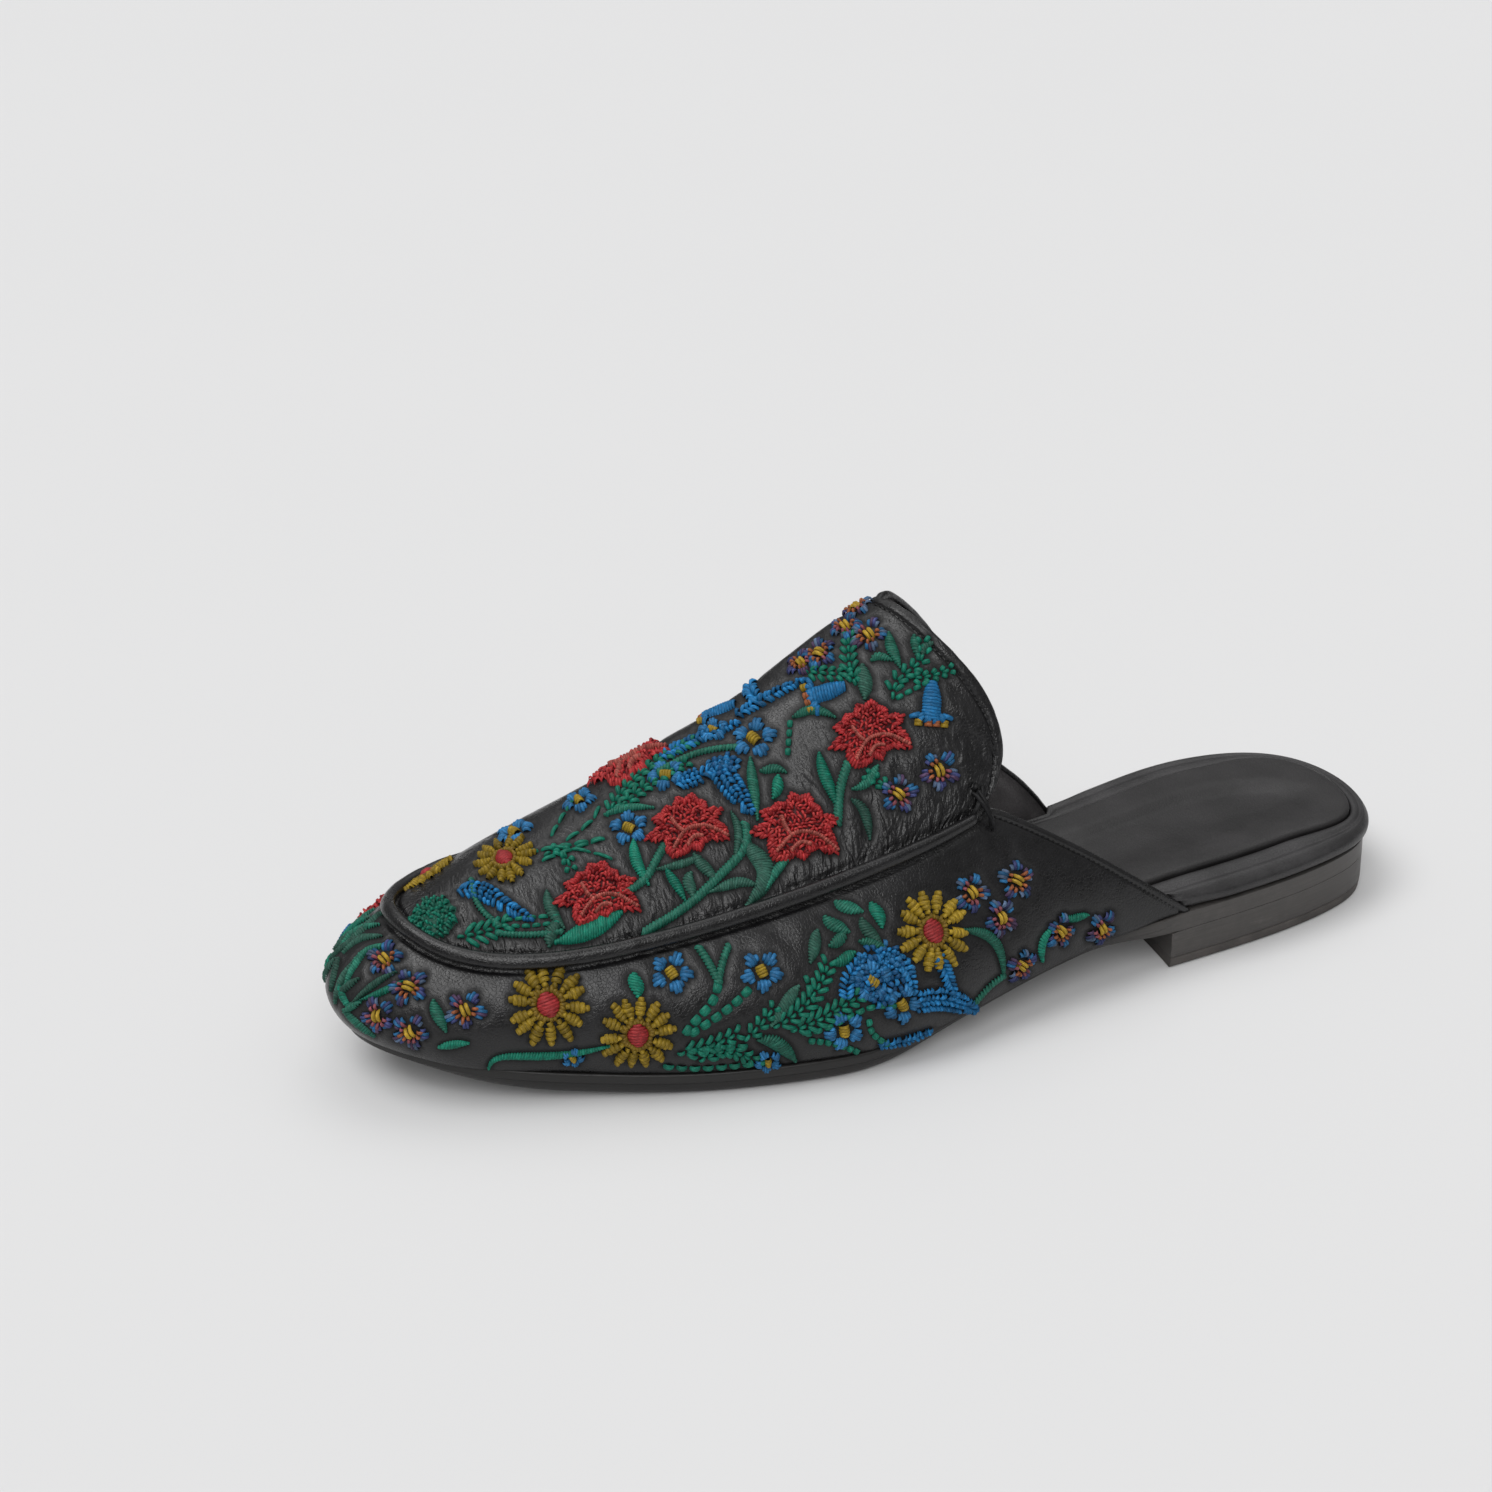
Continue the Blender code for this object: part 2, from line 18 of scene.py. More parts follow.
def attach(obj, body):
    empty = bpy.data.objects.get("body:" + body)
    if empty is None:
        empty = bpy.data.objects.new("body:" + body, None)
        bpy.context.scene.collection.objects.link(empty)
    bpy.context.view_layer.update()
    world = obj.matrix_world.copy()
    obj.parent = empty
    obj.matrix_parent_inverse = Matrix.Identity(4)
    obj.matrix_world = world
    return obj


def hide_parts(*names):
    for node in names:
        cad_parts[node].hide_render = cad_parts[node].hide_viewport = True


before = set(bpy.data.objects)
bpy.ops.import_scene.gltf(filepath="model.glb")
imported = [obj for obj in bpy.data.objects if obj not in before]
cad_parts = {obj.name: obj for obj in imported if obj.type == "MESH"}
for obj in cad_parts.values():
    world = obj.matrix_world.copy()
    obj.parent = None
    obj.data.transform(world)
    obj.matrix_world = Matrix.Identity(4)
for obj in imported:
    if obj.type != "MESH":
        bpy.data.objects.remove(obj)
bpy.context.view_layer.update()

MM = 0.001
CHANCE = np.random.default_rng(38)

# Sizes shared with the solids, in mm
SOLE_LENGTH = 263.5
HEEL_MIDDLE = 34.0
HEEL_SEAT_HEIGHT = 14.1
BALL_HEIGHT = 5.7
TOE_SPRING = 8.2
SHANK_START = 0.22 * SOLE_LENGTH
SHANK_END = 0.60 * SOLE_LENGTH
SPRING_START = 0.70 * SOLE_LENGTH
BREAST = 68.5
LEATHER = 2.0
SEAT_GAP = 0.3
TOE_TIP_Y = -1.7
# Back edges of the walls above the seat, outer and inner: where each starts, and its lean forward
# for a mm of rise
WALL_STARTS = ((63.7, 1.16), (71.0, 0.66))
# Makes the greatest value of climb * (1 - climb)**1.5 into 1, so that a rib's lean is its full lean
LEAN_PEAK = 5.38

# Outsole, heel and footbed, in mm
OUTSOLE_THICKNESS = 4.4
TOE_THINNING = 1.8
TOE_UNDERCUT = 2.6
TOE_START = 0.84 * SOLE_LENGTH
EDGE_BAND = 2.3
EDGE_STEP = 0.5
WELT_REACH = 0.5
TOP_LIFT_HEIGHT = 2.6
HEEL_INSET = 0.3
BREAST_HOLLOW = 1.5
# Edges of the heel that turn more than this (degrees) stay sharp
SHARP = 50
FOOTBED_THICKNESS = 5.6
FOOTBED_NARROWING = 4.2
FOOTBED_OVERHANG = 1.3
PAD_INSET = 3.4
PAD_RECESS = 1.8
PAD_EDGE = 0.95
# How far the sole's edge hides under the upper at the waist and at the toe
WAIST_TUCK = 3.0
TOE_TUCK = 2.3
# Soft parts of the footbed: its lower seam, its rim, its groove, and the dishes worn into the pad, with
# DISH_SIDE as a share of the half width
SEAM_RISE = 0.5
RIM_RISE = 0.1
FOOTBED_TOP = SEAT_GAP + FOOTBED_THICKNESS + RIM_RISE
GROOVE_SPREAD = 4.6
GROOVE_START = (2, 30)
DISH = 1.6
DISH_MIDDLE = 46.0
DISH_LENGTH = 37.0
DISH_SIDE = 0.86
BALL_DISH = 0.5
BALL_MIDDLE = 190.0
BALL_LENGTH = 34.0
# Stretches of the length (mm), from the wall's back edge, over which the rim and the pad's side pass
# inside the upper and the rim's overhang ends
RIM_STEP = (-0.9, 0.9)
PAD_STEP = (-6, 50)
OVERHANG_END = (-14, -1)
# Stretches of the length over which the sole leaves the heel, and its waist starts and ends
PAST_HEEL = (BREAST - 4, BREAST + 14)
WAIST_START = (BREAST + 2, BREAST + 22)
WAIST_END = (SHANK_END - 34, SHANK_END + 4)
# Where the sole's edge darkens past the heel's breast (mm)
BURNISH = (-4.0, 26.0)

# Fineness: ribs of the upper and points on each, rows of its wall and apron, and steps along and across
# the sole and heel
RIBS = 721
RIB_POINTS = 81
WALL_STEPS = 40
APRON_STEPS = 52
LINING_EVERY = 4
SIDE_STEPS = 150
HEEL_STEPS = 60
ACROSS = 18

# Raised seam round the apron: its size in mm, the u at which it starts, the angles round its section,
# how far its ends taper, and its unevenness as a share and a size
PIPING_HALF_WIDTH = 1.9
PIPING_HEIGHT = 2.3
PIPING_LIFT = 0.7
PIPING_FIRST = 0.9
PIPING_ANGLES = np.radians(np.linspace(222, -42, 21))
PIPING_TAPER = 3.0
PIPING_WAVE = (0.09, 6.0)

# Visual detail of the upper, in mm: the folded back edge (its unevenness as a share and a size), the
# crease beside the piping, the puckers along the seam, the turned hem's groove, roll and stitches, and
# the dents beside the embroidery and the reach of the shade painted dark round its stitches
EDGE_ROLL = 0.9
ROLL_ANGLES = np.radians(range(28, 197, 28))
EDGE_WAVE = (0.16, 2.6)
LINING_DEPTH = LEATHER - 0.05
SEAM_CREASE = 2.0
SEAM_CREASE_DEPTH = 0.6
SEAM_CREASE_SPREAD = 0.75
WALL_CREASE = 1.9 * SEAM_CREASE_DEPTH
PUCKER_DEPTH = 0.16
PUCKER_REACH = 6.5
WALL_PUCKER_REACH = 0.35 * PUCKER_REACH
PUCKER_START = 1.5
PUCKER_SIZE = (2.4, 9.0)
HEM = 2.2
HEM_DEPTH = 0.4
HEM_SPREAD = 0.45
HEM_ROLL = 0.22
HEM_STITCH = 1.5
DENT = 0.30
DENT_REACH = 1.05
# Painted shade: how far round the stitches the leather's colour is darkened where their shadow falls (mm)
STITCH_SHADE_REACH = 0.95
# A wear crease's raised lips: height as a share of its depth, and distance as a share of its width
LIPS = (0.55, 1.9)
# Slow waves of the leather: height and size (mm)
WAVES = ((0.28, 26.0), (0.08, 9.0))
# The tuck under the upper's foot: how far each of its rows stands in and down (mm)
TUCK = ((1.6, 1.0), (0.9, 0.8), (0.35, 0.4))
# How deep a stitch's ends go into the leather, and how low all of it lies (mm)
SINK = 0.55
BEDDING = 0.12
# How deep the padding under the flowers goes into the leather (mm)
PADDING_SINK = 0.3
# How far above and below a place the leather is looked for (mm)
SEARCH = 9.0
# What each stitch is moved on by on the thread's map, along and across (mm)
MAP_SHIFT = (3.7, 1.9)

# Camera, floor and lamps, in metres and degrees, with the lens and its sensor in mm
LOOK_AT = (0.13012, 0.0, 0.06368)
CAMERA_ANGLES = (155.28, 26.59)
CAMERA_DISTANCE = 0.90589
CAMERA_LENS = 95.30
SENSOR_WIDTH = 36.0
FLOOR_REACH = 30.0
FLOOR_LEVEL = -0.0002
# Glow of the surroundings at the horizon and straight up, and of the lit floor
WORLD_LOW = 0.05
WORLD_HIGH = 0.60
FLOOR_GLOW = 0.05
# Broad lamps: name, where the light comes from, its width in degrees, strength
LAMPS = (
    ("toe side light", (0.48, -0.04, 0.87), 36.0, 1.40),
    ("back light", (-0.25, -0.42, 0.87), 45.0, 0.50),
    ("front light", (0.32, 0.64, 0.70), 36.0, 1.15),
)

# Tacks at the ends of the apron seam, each from one (u, w) to another
TACKS = (
    ((1.22, 1.13), (0.92, 0.87)),
    ((1.14, 1.14), (0.86, 0.90)),
    ((0.72, 1.12), (0.94, 1.00)),
    ((0.82, 1.13), (0.78, 1.02)),
    ((1.22, 1.13), (1.08, 1.15)),
)

# Outline of the sole: share of the length, outer half width, inner half width (mm)
OUTLINE = np.array([
    (0.02, 17.9, 16.9),
    (0.07, 26.2, 26.3),
    (0.16, 31.5, 27.6),
    (0.30, 35.2, 20.5),
    (0.42, 40.0, 26.2),
    (0.55, 47.1, 29.2),
    (0.66, 45.1, 39.8),
    (0.76, 38.0, 42.0),
    (0.86, 28.6, 33.2),
    (0.94, 20.4, 24.8),
])

# Ridge of the instep, from the edge of the tongue to the front of the apron: x, y, z (mm)
RIDGE = np.array([
    (126.5, -8.0, 90.4),
    (136.0, -9.0, 85.9),
    (150.0, -9.3, 78.0),
    (165.0, -9.3, 69.4),
    (180.0, -9.0, 63.5),
    (195.0, -8.5, 57.5),
    (210.0, -7.5, 52.5),
    (225.0, -6.0, 47.5),
    (236.0, -4.4, 43.2),
    (244.0, -3.4, 39.8),
])

# Ribs of the upper, from the back of one side round the toe to the back of the other. Columns:
# x where the foot of the rib stands on the sole's edge; the apron seam's x, y, z; x of the ridge point;
# swell of the wall above its foot; rise of the foot's handle, as a share of the wall's height; reach of
# the brow under the seam; drop of the brow's handle, as a share of the height; dome exponent of the
# apron; backward lean of the apron rib (mm)
OUTER_RIBS = np.array([
    (63.7, 115.5, 26.8, 50.2, 126.5, 1.0, 0.40, 2.5, 0.26, 2.20, 8.2),
    (84.0, 121.0, 28.5, 48.6, 130.8, 2.0, 0.40, 4.0, 0.24, 2.10, 7.2),
    (106.0, 131.0, 30.0, 46.3, 138.2, 3.0, 0.40, 5.5, 0.22, 2.00, 5.0),
    (130.0, 145.0, 30.5, 43.3, 150.0, 3.8, 0.40, 7.0, 0.20, 1.90, 2.5),
    (155.0, 163.0, 30.2, 39.8, 165.0, 4.2, 0.40, 8.0, 0.18, 1.85, 0.7),
    (180.0, 183.0, 29.2, 36.7, 183.0, 4.4, 0.42, 8.0, 0.18, 1.85, 0.0),
    (203.0, 203.0, 27.0, 34.2, 201.0, 5.2, 0.44, 7.5, 0.18, 1.90, 0.0),
    (224.0, 220.5, 23.5, 32.8, 217.5, 4.6, 0.46, 6.5, 0.18, 1.95, 0.0),
    (242.0, 235.0, 17.8, 33.0, 230.0, 5.4, 0.48, 5.5, 0.18, 1.90, 0.0),
    (255.5, 245.2, 9.0, 35.0, 239.0, 7.6, 0.50, 5.5, 0.18, 1.85, 0.0),
])
TOE_RIB = np.array([(263.5, 249.8, -3.4, 37.4, 244.0, 9.4, 0.50, 6.5, 0.18, 1.80, 0.0)])
INNER_RIBS = np.array([
    (71.0, 113.5, -21.3, 49.0, 126.5, 0.0, 0.66, 1.5, 0.22, 2.40, 10.4),
    (86.0, 119.5, -22.0, 48.1, 130.8, 1.0, 0.56, 2.5, 0.24, 2.50, 9.0),
    (106.0, 129.5, -22.6, 46.3, 138.2, 2.0, 0.46, 3.5, 0.24, 2.55, 6.0),
    (130.0, 144.0, -23.0, 43.7, 150.0, 2.8, 0.40, 4.5, 0.24, 2.50, 2.8),
    (155.0, 162.0, -23.8, 40.5, 165.0, 3.4, 0.40, 5.5, 0.22, 2.45, 0.7),
    (180.0, 182.0, -25.0, 37.5, 183.0, 4.2, 0.42, 6.5, 0.20, 2.40, 0.0),
    (203.0, 202.0, -25.9, 35.4, 201.0, 5.2, 0.44, 6.5, 0.18, 2.30, 0.0),
    (224.0, 220.5, -25.6, 34.5, 217.5, 4.6, 0.46, 6.0, 0.18, 2.15, 0.0),
    (242.0, 235.5, -22.0, 35.0, 230.0, 5.4, 0.48, 5.5, 0.18, 2.00, 0.0),
    (255.5, 245.7, -14.2, 36.2, 239.0, 7.6, 0.50, 5.5, 0.18, 1.90, 0.0),
])

# Soft creases pressed in by wear. Columns: u and w of one end, u and w of the other, half width and
# depth (mm)
CREASES = (
    (0.55, 1.16, 1.60, 1.42, 2.6, 0.55),
    (0.40, 1.40, 1.25, 1.62, 2.4, 0.40),
    (19.5, 1.16, 18.5, 1.45, 2.6, 0.50),
    (19.6, 1.45, 18.8, 1.66, 2.4, 0.40),
    (0.70, 0.92, 1.90, 0.50, 2.6, 0.40),
    (19.3, 0.90, 18.1, 0.48, 2.8, 0.55),
    (18.2, 0.92, 17.0, 0.62, 2.4, 0.50),
    (16.6, 0.94, 15.9, 0.70, 2.2, 0.45),
    (15.4, 0.92, 14.6, 0.72, 2.2, 0.35),
    (4.60, 0.94, 4.30, 0.62, 2.4, 0.25),
    (3.20, 1.10, 2.80, 1.46, 2.2, 0.30),
    (4.20, 1.08, 3.90, 1.42, 2.0, 0.28),
    (16.9, 1.10, 17.2, 1.44, 2.2, 0.35),
    (15.9, 1.08, 16.1, 1.40, 2.0, 0.30),
)

# Leather, rubber and floor, as linear red, green and blue: of two, the darker and the lighter tone
BLACK_LEATHER = (0.0066, 0.0064, 0.0070)
LINING_LEATHER = (0.085, 0.080, 0.082)
FOOTBED_LEATHER = (0.024, 0.023, 0.024)
SOCK_LEATHER = (0.0150, 0.0140, 0.0146)
STACKED_LEATHER = ((0.047, 0.043, 0.040), (0.071, 0.065, 0.061))
LIFT_RUBBER = (0.050, 0.045, 0.042)
DUST = (0.12, 0.11, 0.10)
FLOOR_TONES = ((0.605, 0.605, 0.608), (0.615, 0.615, 0.618))
SHADOW = (0.0, 0.0, 0.0)
WHITE = (1.0, 1.0, 1.0)

# Thread colours, as linear red, green and blue
BLACK_THREAD = (0.010, 0.010, 0.011)
YELLOW = (0.40, 0.265, 0.022)
YELLOW_DEEP = (0.24, 0.150, 0.015)
YELLOW_BRIGHT = (0.56, 0.360, 0.035)
RED = (0.50, 0.036, 0.040)
RED_DEEP = (0.27, 0.016, 0.020)
RED_DARK = (0.085, 0.008, 0.010)
RED_BRIGHT = (0.62, 0.062, 0.060)
RED_PALE = (0.54, 0.125, 0.100)
RED_CENTRE = (0.40, 0.035, 0.038)
ROSE = (0.30, 0.085, 0.105)
ORANGE = (0.38, 0.12, 0.045)
BLUE = (0.016, 0.180, 0.420)
BLUE_SOFT = (0.032, 0.195, 0.430)
BLUE_DEEP = (0.010, 0.095, 0.240)
VIOLET_BLUE = (0.075, 0.090, 0.260)
PALE_BLUE = (0.150, 0.230, 0.380)
MAUVE = (0.130, 0.075, 0.160)
PANSY_SHADES = (BLUE_SOFT, BLUE_SOFT, PALE_BLUE, VIOLET_BLUE, VIOLET_BLUE, MAUVE)
GREEN = (0.008, 0.200, 0.130)
GREEN_SOFT = (0.022, 0.170, 0.115)
GREEN_DEEP = (0.006, 0.085, 0.055)
GREEN_DULL = (0.030, 0.110, 0.080)
LEAF_SHADES = (GREEN, GREEN_SOFT, GREEN_DULL)
# Leaves wider than this (mm) are sewn in the brightest green
BROAD_LEAF = 5.0

# Shape of a stitch: places along it, and angles round its half-round section
STITCH_STATIONS = np.array((0.0, 0.1, 0.35, 0.65, 0.9, 1.0))
STITCH_ARC = np.radians((0, 45, 90, 135, 180))

# Bluebell: each turned-back lobe's side place and reach, as shares of the bell's length
BELL_LOBES = ((-0.36, 0.16), (-0.20, 0.25), (0.0, 0.28), (0.20, 0.25), (0.36, 0.16))
# Share of the places in a closely worked flower that are left open
HOLES = 0.05

# Carnation: radius of its outline at even angles, as a share, from the spike that points at the toe
CARNATION_LOBES = (
    1.34, 0.84, 1.04, 1.16, 1.02, 0.78, 0.90, 0.78, 0.84, 1.30, 1.10, 0.82,
    1.12, 0.74, 0.82, 0.78, 0.94, 0.80, 0.88, 0.66, 0.84, 0.82, 1.06, 0.80,
)
# Its paler folded petals: x, y of each one's stops, as shares of the radius
CARNATION_FOLDS = (
    ((0.72, 0.62), (0.38, 0.34), (0.02, 0.20), (-0.36, 0.28), (-0.62, 0.48), (-0.92, 0.84)),
    ((0.40, -0.30), (0.34, 0.00), (0.22, 0.24)),
    ((0.30, 0.66), (0.02, 0.48), (-0.22, 0.56)),
)

# Daisies: u, w, radius (mm), turn (degrees), how bright: painted light and shade, each daisy's yellow
# lightened or darkened to the light falling on it
DAISIES = (
    (7.15, 0.64, 9.3, 9, 0.80),
    (6.15, 0.36, 8.8, 0, 0.90),
    (2.95, 0.55, 9.4, 14, 1.15),
    (7.4, 1.84, 7.3, 5, 0.80),
    (11.75, 1.30, 6.8, 0, 0.95),
    (13.05, 0.76, 8.4, 11, 0.95),
    (13.9, 0.56, 9.2, 3, 1.0),
    (17.4, 0.7, 9.5, 0, 1.0),
    (16.65, 1.38, 9.8, 8, 0.95),
)

# Carnations: u, w, radius (mm), turn (degrees)
CARNATIONS = (
    (6.3, 1.36, 7.8, 0),
    (5.05, 1.52, 7.8, 4),
    (3.9, 1.3, 8.6, -6),
    (2.65, 1.52, 7.9, 10),
    (11.7, 0.48, 9.2, 80),
    (14.7, 1.86, 8.4, 0),
)

# Blue five-petal flowers: u, w, radius (mm), turn (degrees)
FLOWERS = (
    (12.95, 1.94, 5, 10),
    (5.7, 1.64, 4.8, 40),
    (3.95, 1.76, 5.6, 20),
    (5.05, 1.82, 4.8, 55),
    (6.1, 1.98, 4.3, 0),
    (4.3, 1.92, 3.9, 30),
    (5.7, 0.76, 5.2, 18),
    (4.8, 0.64, 5.2, 12),
    (3.8, 0.42, 5.6, 48),
    (3.6, 0.24, 5.2, 25),
    (4.2, 0.18, 5.2, 5),
    (4.95, 0.04, 3.5, 10),
    (6.85, 0.16, 2.8, 40),
    (14.4, 0.84, 5.6, 12),
    (15.3, 0.72, 5.6, 30),
    (14.65, 1.36, 5, 0),
    (13.85, 1.28, 4.6, 30),
)

# Two-tone pansies: u, w, radius (mm), turn (degrees)
PANSIES = (
    (2.2, 0.64, 5.4, 20),
    (1.5, 0.58, 5.4, 50),
    (2.1, 0.44, 5.2, 5),
    (1.55, 0.2, 4.8, 30),
    (1.1, 0.1, 4.8, 12),
    (2.2, 0.12, 4.8, 44),
    (9.55, 0.72, 5.0, 15),
    (9.05, 0.62, 5.0, 50),
    (9.3, 0.32, 4.8, 0),
    (8.85, 0.28, 5.0, 30),
    (8.2, 0.56, 5.0, 10),
    (1.6, 1.86, 5, 12),
    (2.55, 1.92, 5, 40),
    (1.8, 1.96, 4.6, 0),
    (18.7, 1.96, 4.6, 25),
    (1.9, 1.26, 5.4, 8),
    (2.6, 1.24, 5.2, 36),
    (2.85, 1.94, 4.2, 10),
    (18.6, 1.58, 5.4, 10),
    (17.75, 1.7, 5.2, 30),
    (17.65, 1.38, 5.2, 50),
    (18.3, 1.24, 5.2, 20),
    (17.45, 1.24, 5, 5),
    (18.45, 0.18, 4.8, 33),
)

# Bluebells: u, w, length (mm), turn of the mouth (degrees)
BELLS = (
    (2.95, 1.76, 12.0, -5),
    (1.6, 1.48, 12.5, 75),
    (10.9, 0.36, 11.6, -65),
    (15.85, 1.92, 11.2, -40),
)

# Thistle heads: u, w, radius (mm), turn (degrees)
THISTLES = ((9.05, 1.43, 5.7, 0),)

# Dense blue heads: u, w, radius (mm), turn (degrees)
BLOOMS = (
    (3.68, 0.44, 7.4, 0),
    (4.40, 1.70, 3.6, 0),
    (14.9, 0.80, 6.0, 0),
)

# Grape-hyacinth spikes: width (mm), then (u, w) stops from foot to tip
SPIKES = (
    (4.8, ((5, 1.74), (4.7, 1.72), (4.4, 1.72))),
    (6.3, ((4.45, 1.76), (4.45, 1.64), (4.35, 1.46))),
    (4.4, ((5, 1.94), (4.5, 1.92), (4.05, 1.88))),
    (3.8, ((3.95, 1.92), (3.55, 1.9), (3.05, 1.86))),
    (4.8, ((8.4, 1.76), (7.95, 1.64), (7.6, 1.46), (7.3, 1.32))),
    (4.1, ((4.1, 0.36), (4, 0.48), (3.8, 0.56))),
    (4.8, ((3.65, 0.56), (3.45, 0.44), (3.45, 0.3))),
    (3.3, ((3.9, 0.32), (3.8, 0.44), (3.6, 0.5))),
    (4.1, ((3.05, 0.42), (3.05, 0.28), (3.05, 0.16))),
    (5.9, ((3.45, 0.22), (3.15, 0.16), (2.85, 0))),
    (3.0, ((3.9, 0.02), (3.65, 0), (3.4, 0))),
    (5.2, ((13.55, 0.4), (13.4, 0.3), (13.35, 0.1))),
    (4.8, ((15.2, 1.58), (15.65, 1.6), (16.05, 1.42))),
    (4.4, ((3.65, 1.9), (3.55, 2.24), (3.5, 2.34))),
)

# Satin leaves: width (mm), then (u, w) stops
LEAVES = (
    (5.3, ((6.1, 1.2), (6.5, 1.16), (7, 1.12))),
    (2.9, ((6.95, 1.46), (6.95, 1.32), (6.85, 1.2))),
    (3.7, ((6.9, 1.24), (7.05, 1.18), (7.1, 1.1))),
    (2.9, ((5.7, 1.56), (5.75, 1.44), (5.7, 1.3))),
    (2.1, ((5.05, 1.34), (5.25, 1.34), (5.55, 1.36))),
    (2.4, ((5.45, 1.34), (5.4, 1.26), (5.35, 1.16))),
    (3, ((5.2, 1.28), (5.25, 1.24), (5.25, 1.16))),
    (3, ((5.1, 1.36), (5.05, 1.3), (4.95, 1.2))),
    (2.7, ((4.55, 1.12), (4.75, 1.16), (5.05, 1.16))),
    (4.7, ((4.55, 1.34), (4.4, 1.16), (4.7, 1.04))),
    (2.4, ((4.1, 1.18), (4.3, 1.14), (4.45, 1.08))),
    (2.7, ((4.1, 1.68), (4.2, 1.56), (4.3, 1.4))),
    (2.4, ((4.05, 1.6), (3.9, 1.58), (3.8, 1.54))),
    (2.9, ((3.9, 1.54), (3.95, 1.5), (4.05, 1.46))),
    (3, ((3.35, 1.54), (3.4, 1.44), (3.4, 1.3))),
    (2.1, ((4.55, 1.48), (4.55, 1.38), (4.7, 1.26))),
    (2.6, ((2.75, 1.38), (2.95, 1.34), (3.15, 1.34))),
    (2.6, ((3.2, 1.3), (3.1, 1.24), (3.1, 1.12))),
    (2.9, ((1.2, 1.82), (1.45, 1.76), (1.6, 1.68))),
    (4, ((2.15, 1.76), (2.3, 1.7), (2.45, 1.64))),
    (2.6, ((3.4, 1.74), (3.15, 1.72), (2.95, 1.64))),
    (2.2, ((5.9, 1.78), (5.65, 1.76), (5.35, 1.68))),
    (2.1, ((1.95, 1.76), (1.8, 1.76), (1.65, 1.72))),
    (2.4, ((0.65, 1.76), (0.9, 1.72), (1.1, 1.68))),
    (2.2, ((0.35, 1.7), (0.7, 1.7), (0.95, 1.68))),
    (2.2, ((7.8, 0.02), (7.65, 0.16), (7.05, 0.18), (6.45, 0.28))),
    (3.4, ((3.75, 0.9), (3.65, 0.84), (3.55, 0.8))),
    (3.5, ((3.95, 0.84), (3.9, 0.78), (3.8, 0.72))),
    (3.2, ((4.1, 0.78), (4.2, 0.7), (4.3, 0.62))),
    (3.4, ((3.4, 0.82), (3.4, 0.76), (3.45, 0.68))),
    (3.3, ((3.6, 0.76), (3.6, 0.68), (3.55, 0.6))),
    (2.6, ((3.74, 0.65), (3.63, 0.62), (3.52, 0.55))),
    (3.1, ((3.85, 0.72), (3.9, 0.7), (4.05, 0.68))),
    (3.0, ((3.85, 0.6), (4, 0.58), (4.1, 0.58))),
    (2.7, ((2.6, 0.48), (2.4, 0.4), (2.35, 0.28), (2.45, 0.12))),
    (3.7, ((5, 0.22), (4.85, 0.18), (4.7, 0.02))),
    (3.4, ((4.5, 0.5), (4.65, 0.42), (4.85, 0.3))),
    (3.7, ((6.1, 0.8), (6.1, 0.72), (6.1, 0.64))),
    (3, ((8.65, 0.58), (8.55, 0.48), (8.4, 0.36))),
    (2.2, ((8.45, 0.2), (8.3, 0.24), (8.1, 0.28))),
    (1.8, ((9.3, 0.68), (9.45, 0.56), (9.65, 0.32))),
    (1.8, ((9.15, 0.64), (9.35, 0.5), (9.55, 0.38))),
    (1.8, ((9.65, 0.82), (9.85, 0.7), (9.9, 0.56))),
    (1.8, ((9.85, 0.84), (10.1, 0.72), (10.15, 0.56))),
    (1.8, ((10.1, 0.88), (10.4, 0.7), (10.35, 0.56))),
    (1.8, ((10.55, 0.82), (10.8, 0.62), (10.6, 0.5))),
    (1.8, ((9.85, 0.68), (9.85, 0.52), (9.8, 0.4))),
    (2.1, ((9.9, 0.56), (9.9, 0.42), (9.9, 0.24))),
    (2.1, ((9.7, 0.5), (9.8, 0.4), (9.9, 0.3))),
    (2.1, ((9.9, 0.4), (9.8, 0.32), (9.65, 0.28))),
    (3, ((9.75, 0.24), (9.6, 0.18), (9.35, 0.12))),
    (2, ((10.15, 0.5), (10.05, 0.4), (10, 0.3))),
    (2, ((9.55, 0.36), (9.65, 0.3), (9.75, 0.22))),
    (2.4, ((1.65, 0.24), (1.85, 0.18), (1.95, 0.08))),
    (2.1, ((1.1, 0.22), (1.3, 0.24), (1.4, 0.28))),
    (2.1, ((10.1, 0.76), (10.25, 0.6), (10.35, 0.42))),
    (2.1, ((10.35, 0.8), (10.45, 0.62), (10.55, 0.44))),
    (2.1, ((10.6, 0.8), (10.7, 0.62), (10.65, 0.48))),
    (2.1, ((10.5, 0.92), (10.3, 0.78), (10.25, 0.6))),
    (2.5, ((10.2, 0.48), (10.3, 0.32), (10.4, 0.22))),
    (2.1, ((10.4, 0.44), (10.45, 0.36), (10.55, 0.22))),
    (2.1, ((11, 0.78), (10.85, 0.64), (10.75, 0.6))),
    (3.4, ((16.15, 0.93), (16.3, 0.90), (16.45, 0.84))),
    (3.4, ((16.7, 0.92), (16.65, 0.84), (16.55, 0.76))),
    (3.2, ((16.15, 0.82), (16.3, 0.78), (16.4, 0.7))),
    (3.2, ((16.8, 0.78), (16.6, 0.7), (16.4, 0.64))),
    (3.2, ((15.85, 0.72), (16.05, 0.76), (16.2, 0.7))),
    (2.9, ((13.95, 0.92), (14.05, 0.82), (14.05, 0.7))),
    (4, ((14.25, 1.82), (14.4, 1.64), (14.3, 1.54))),
    (2.9, ((16.1, 1.32), (16.2, 1.24), (16.3, 1.14))),
    (3, ((15.45, 1.24), (15.65, 1.18), (15.85, 1.16))),
)

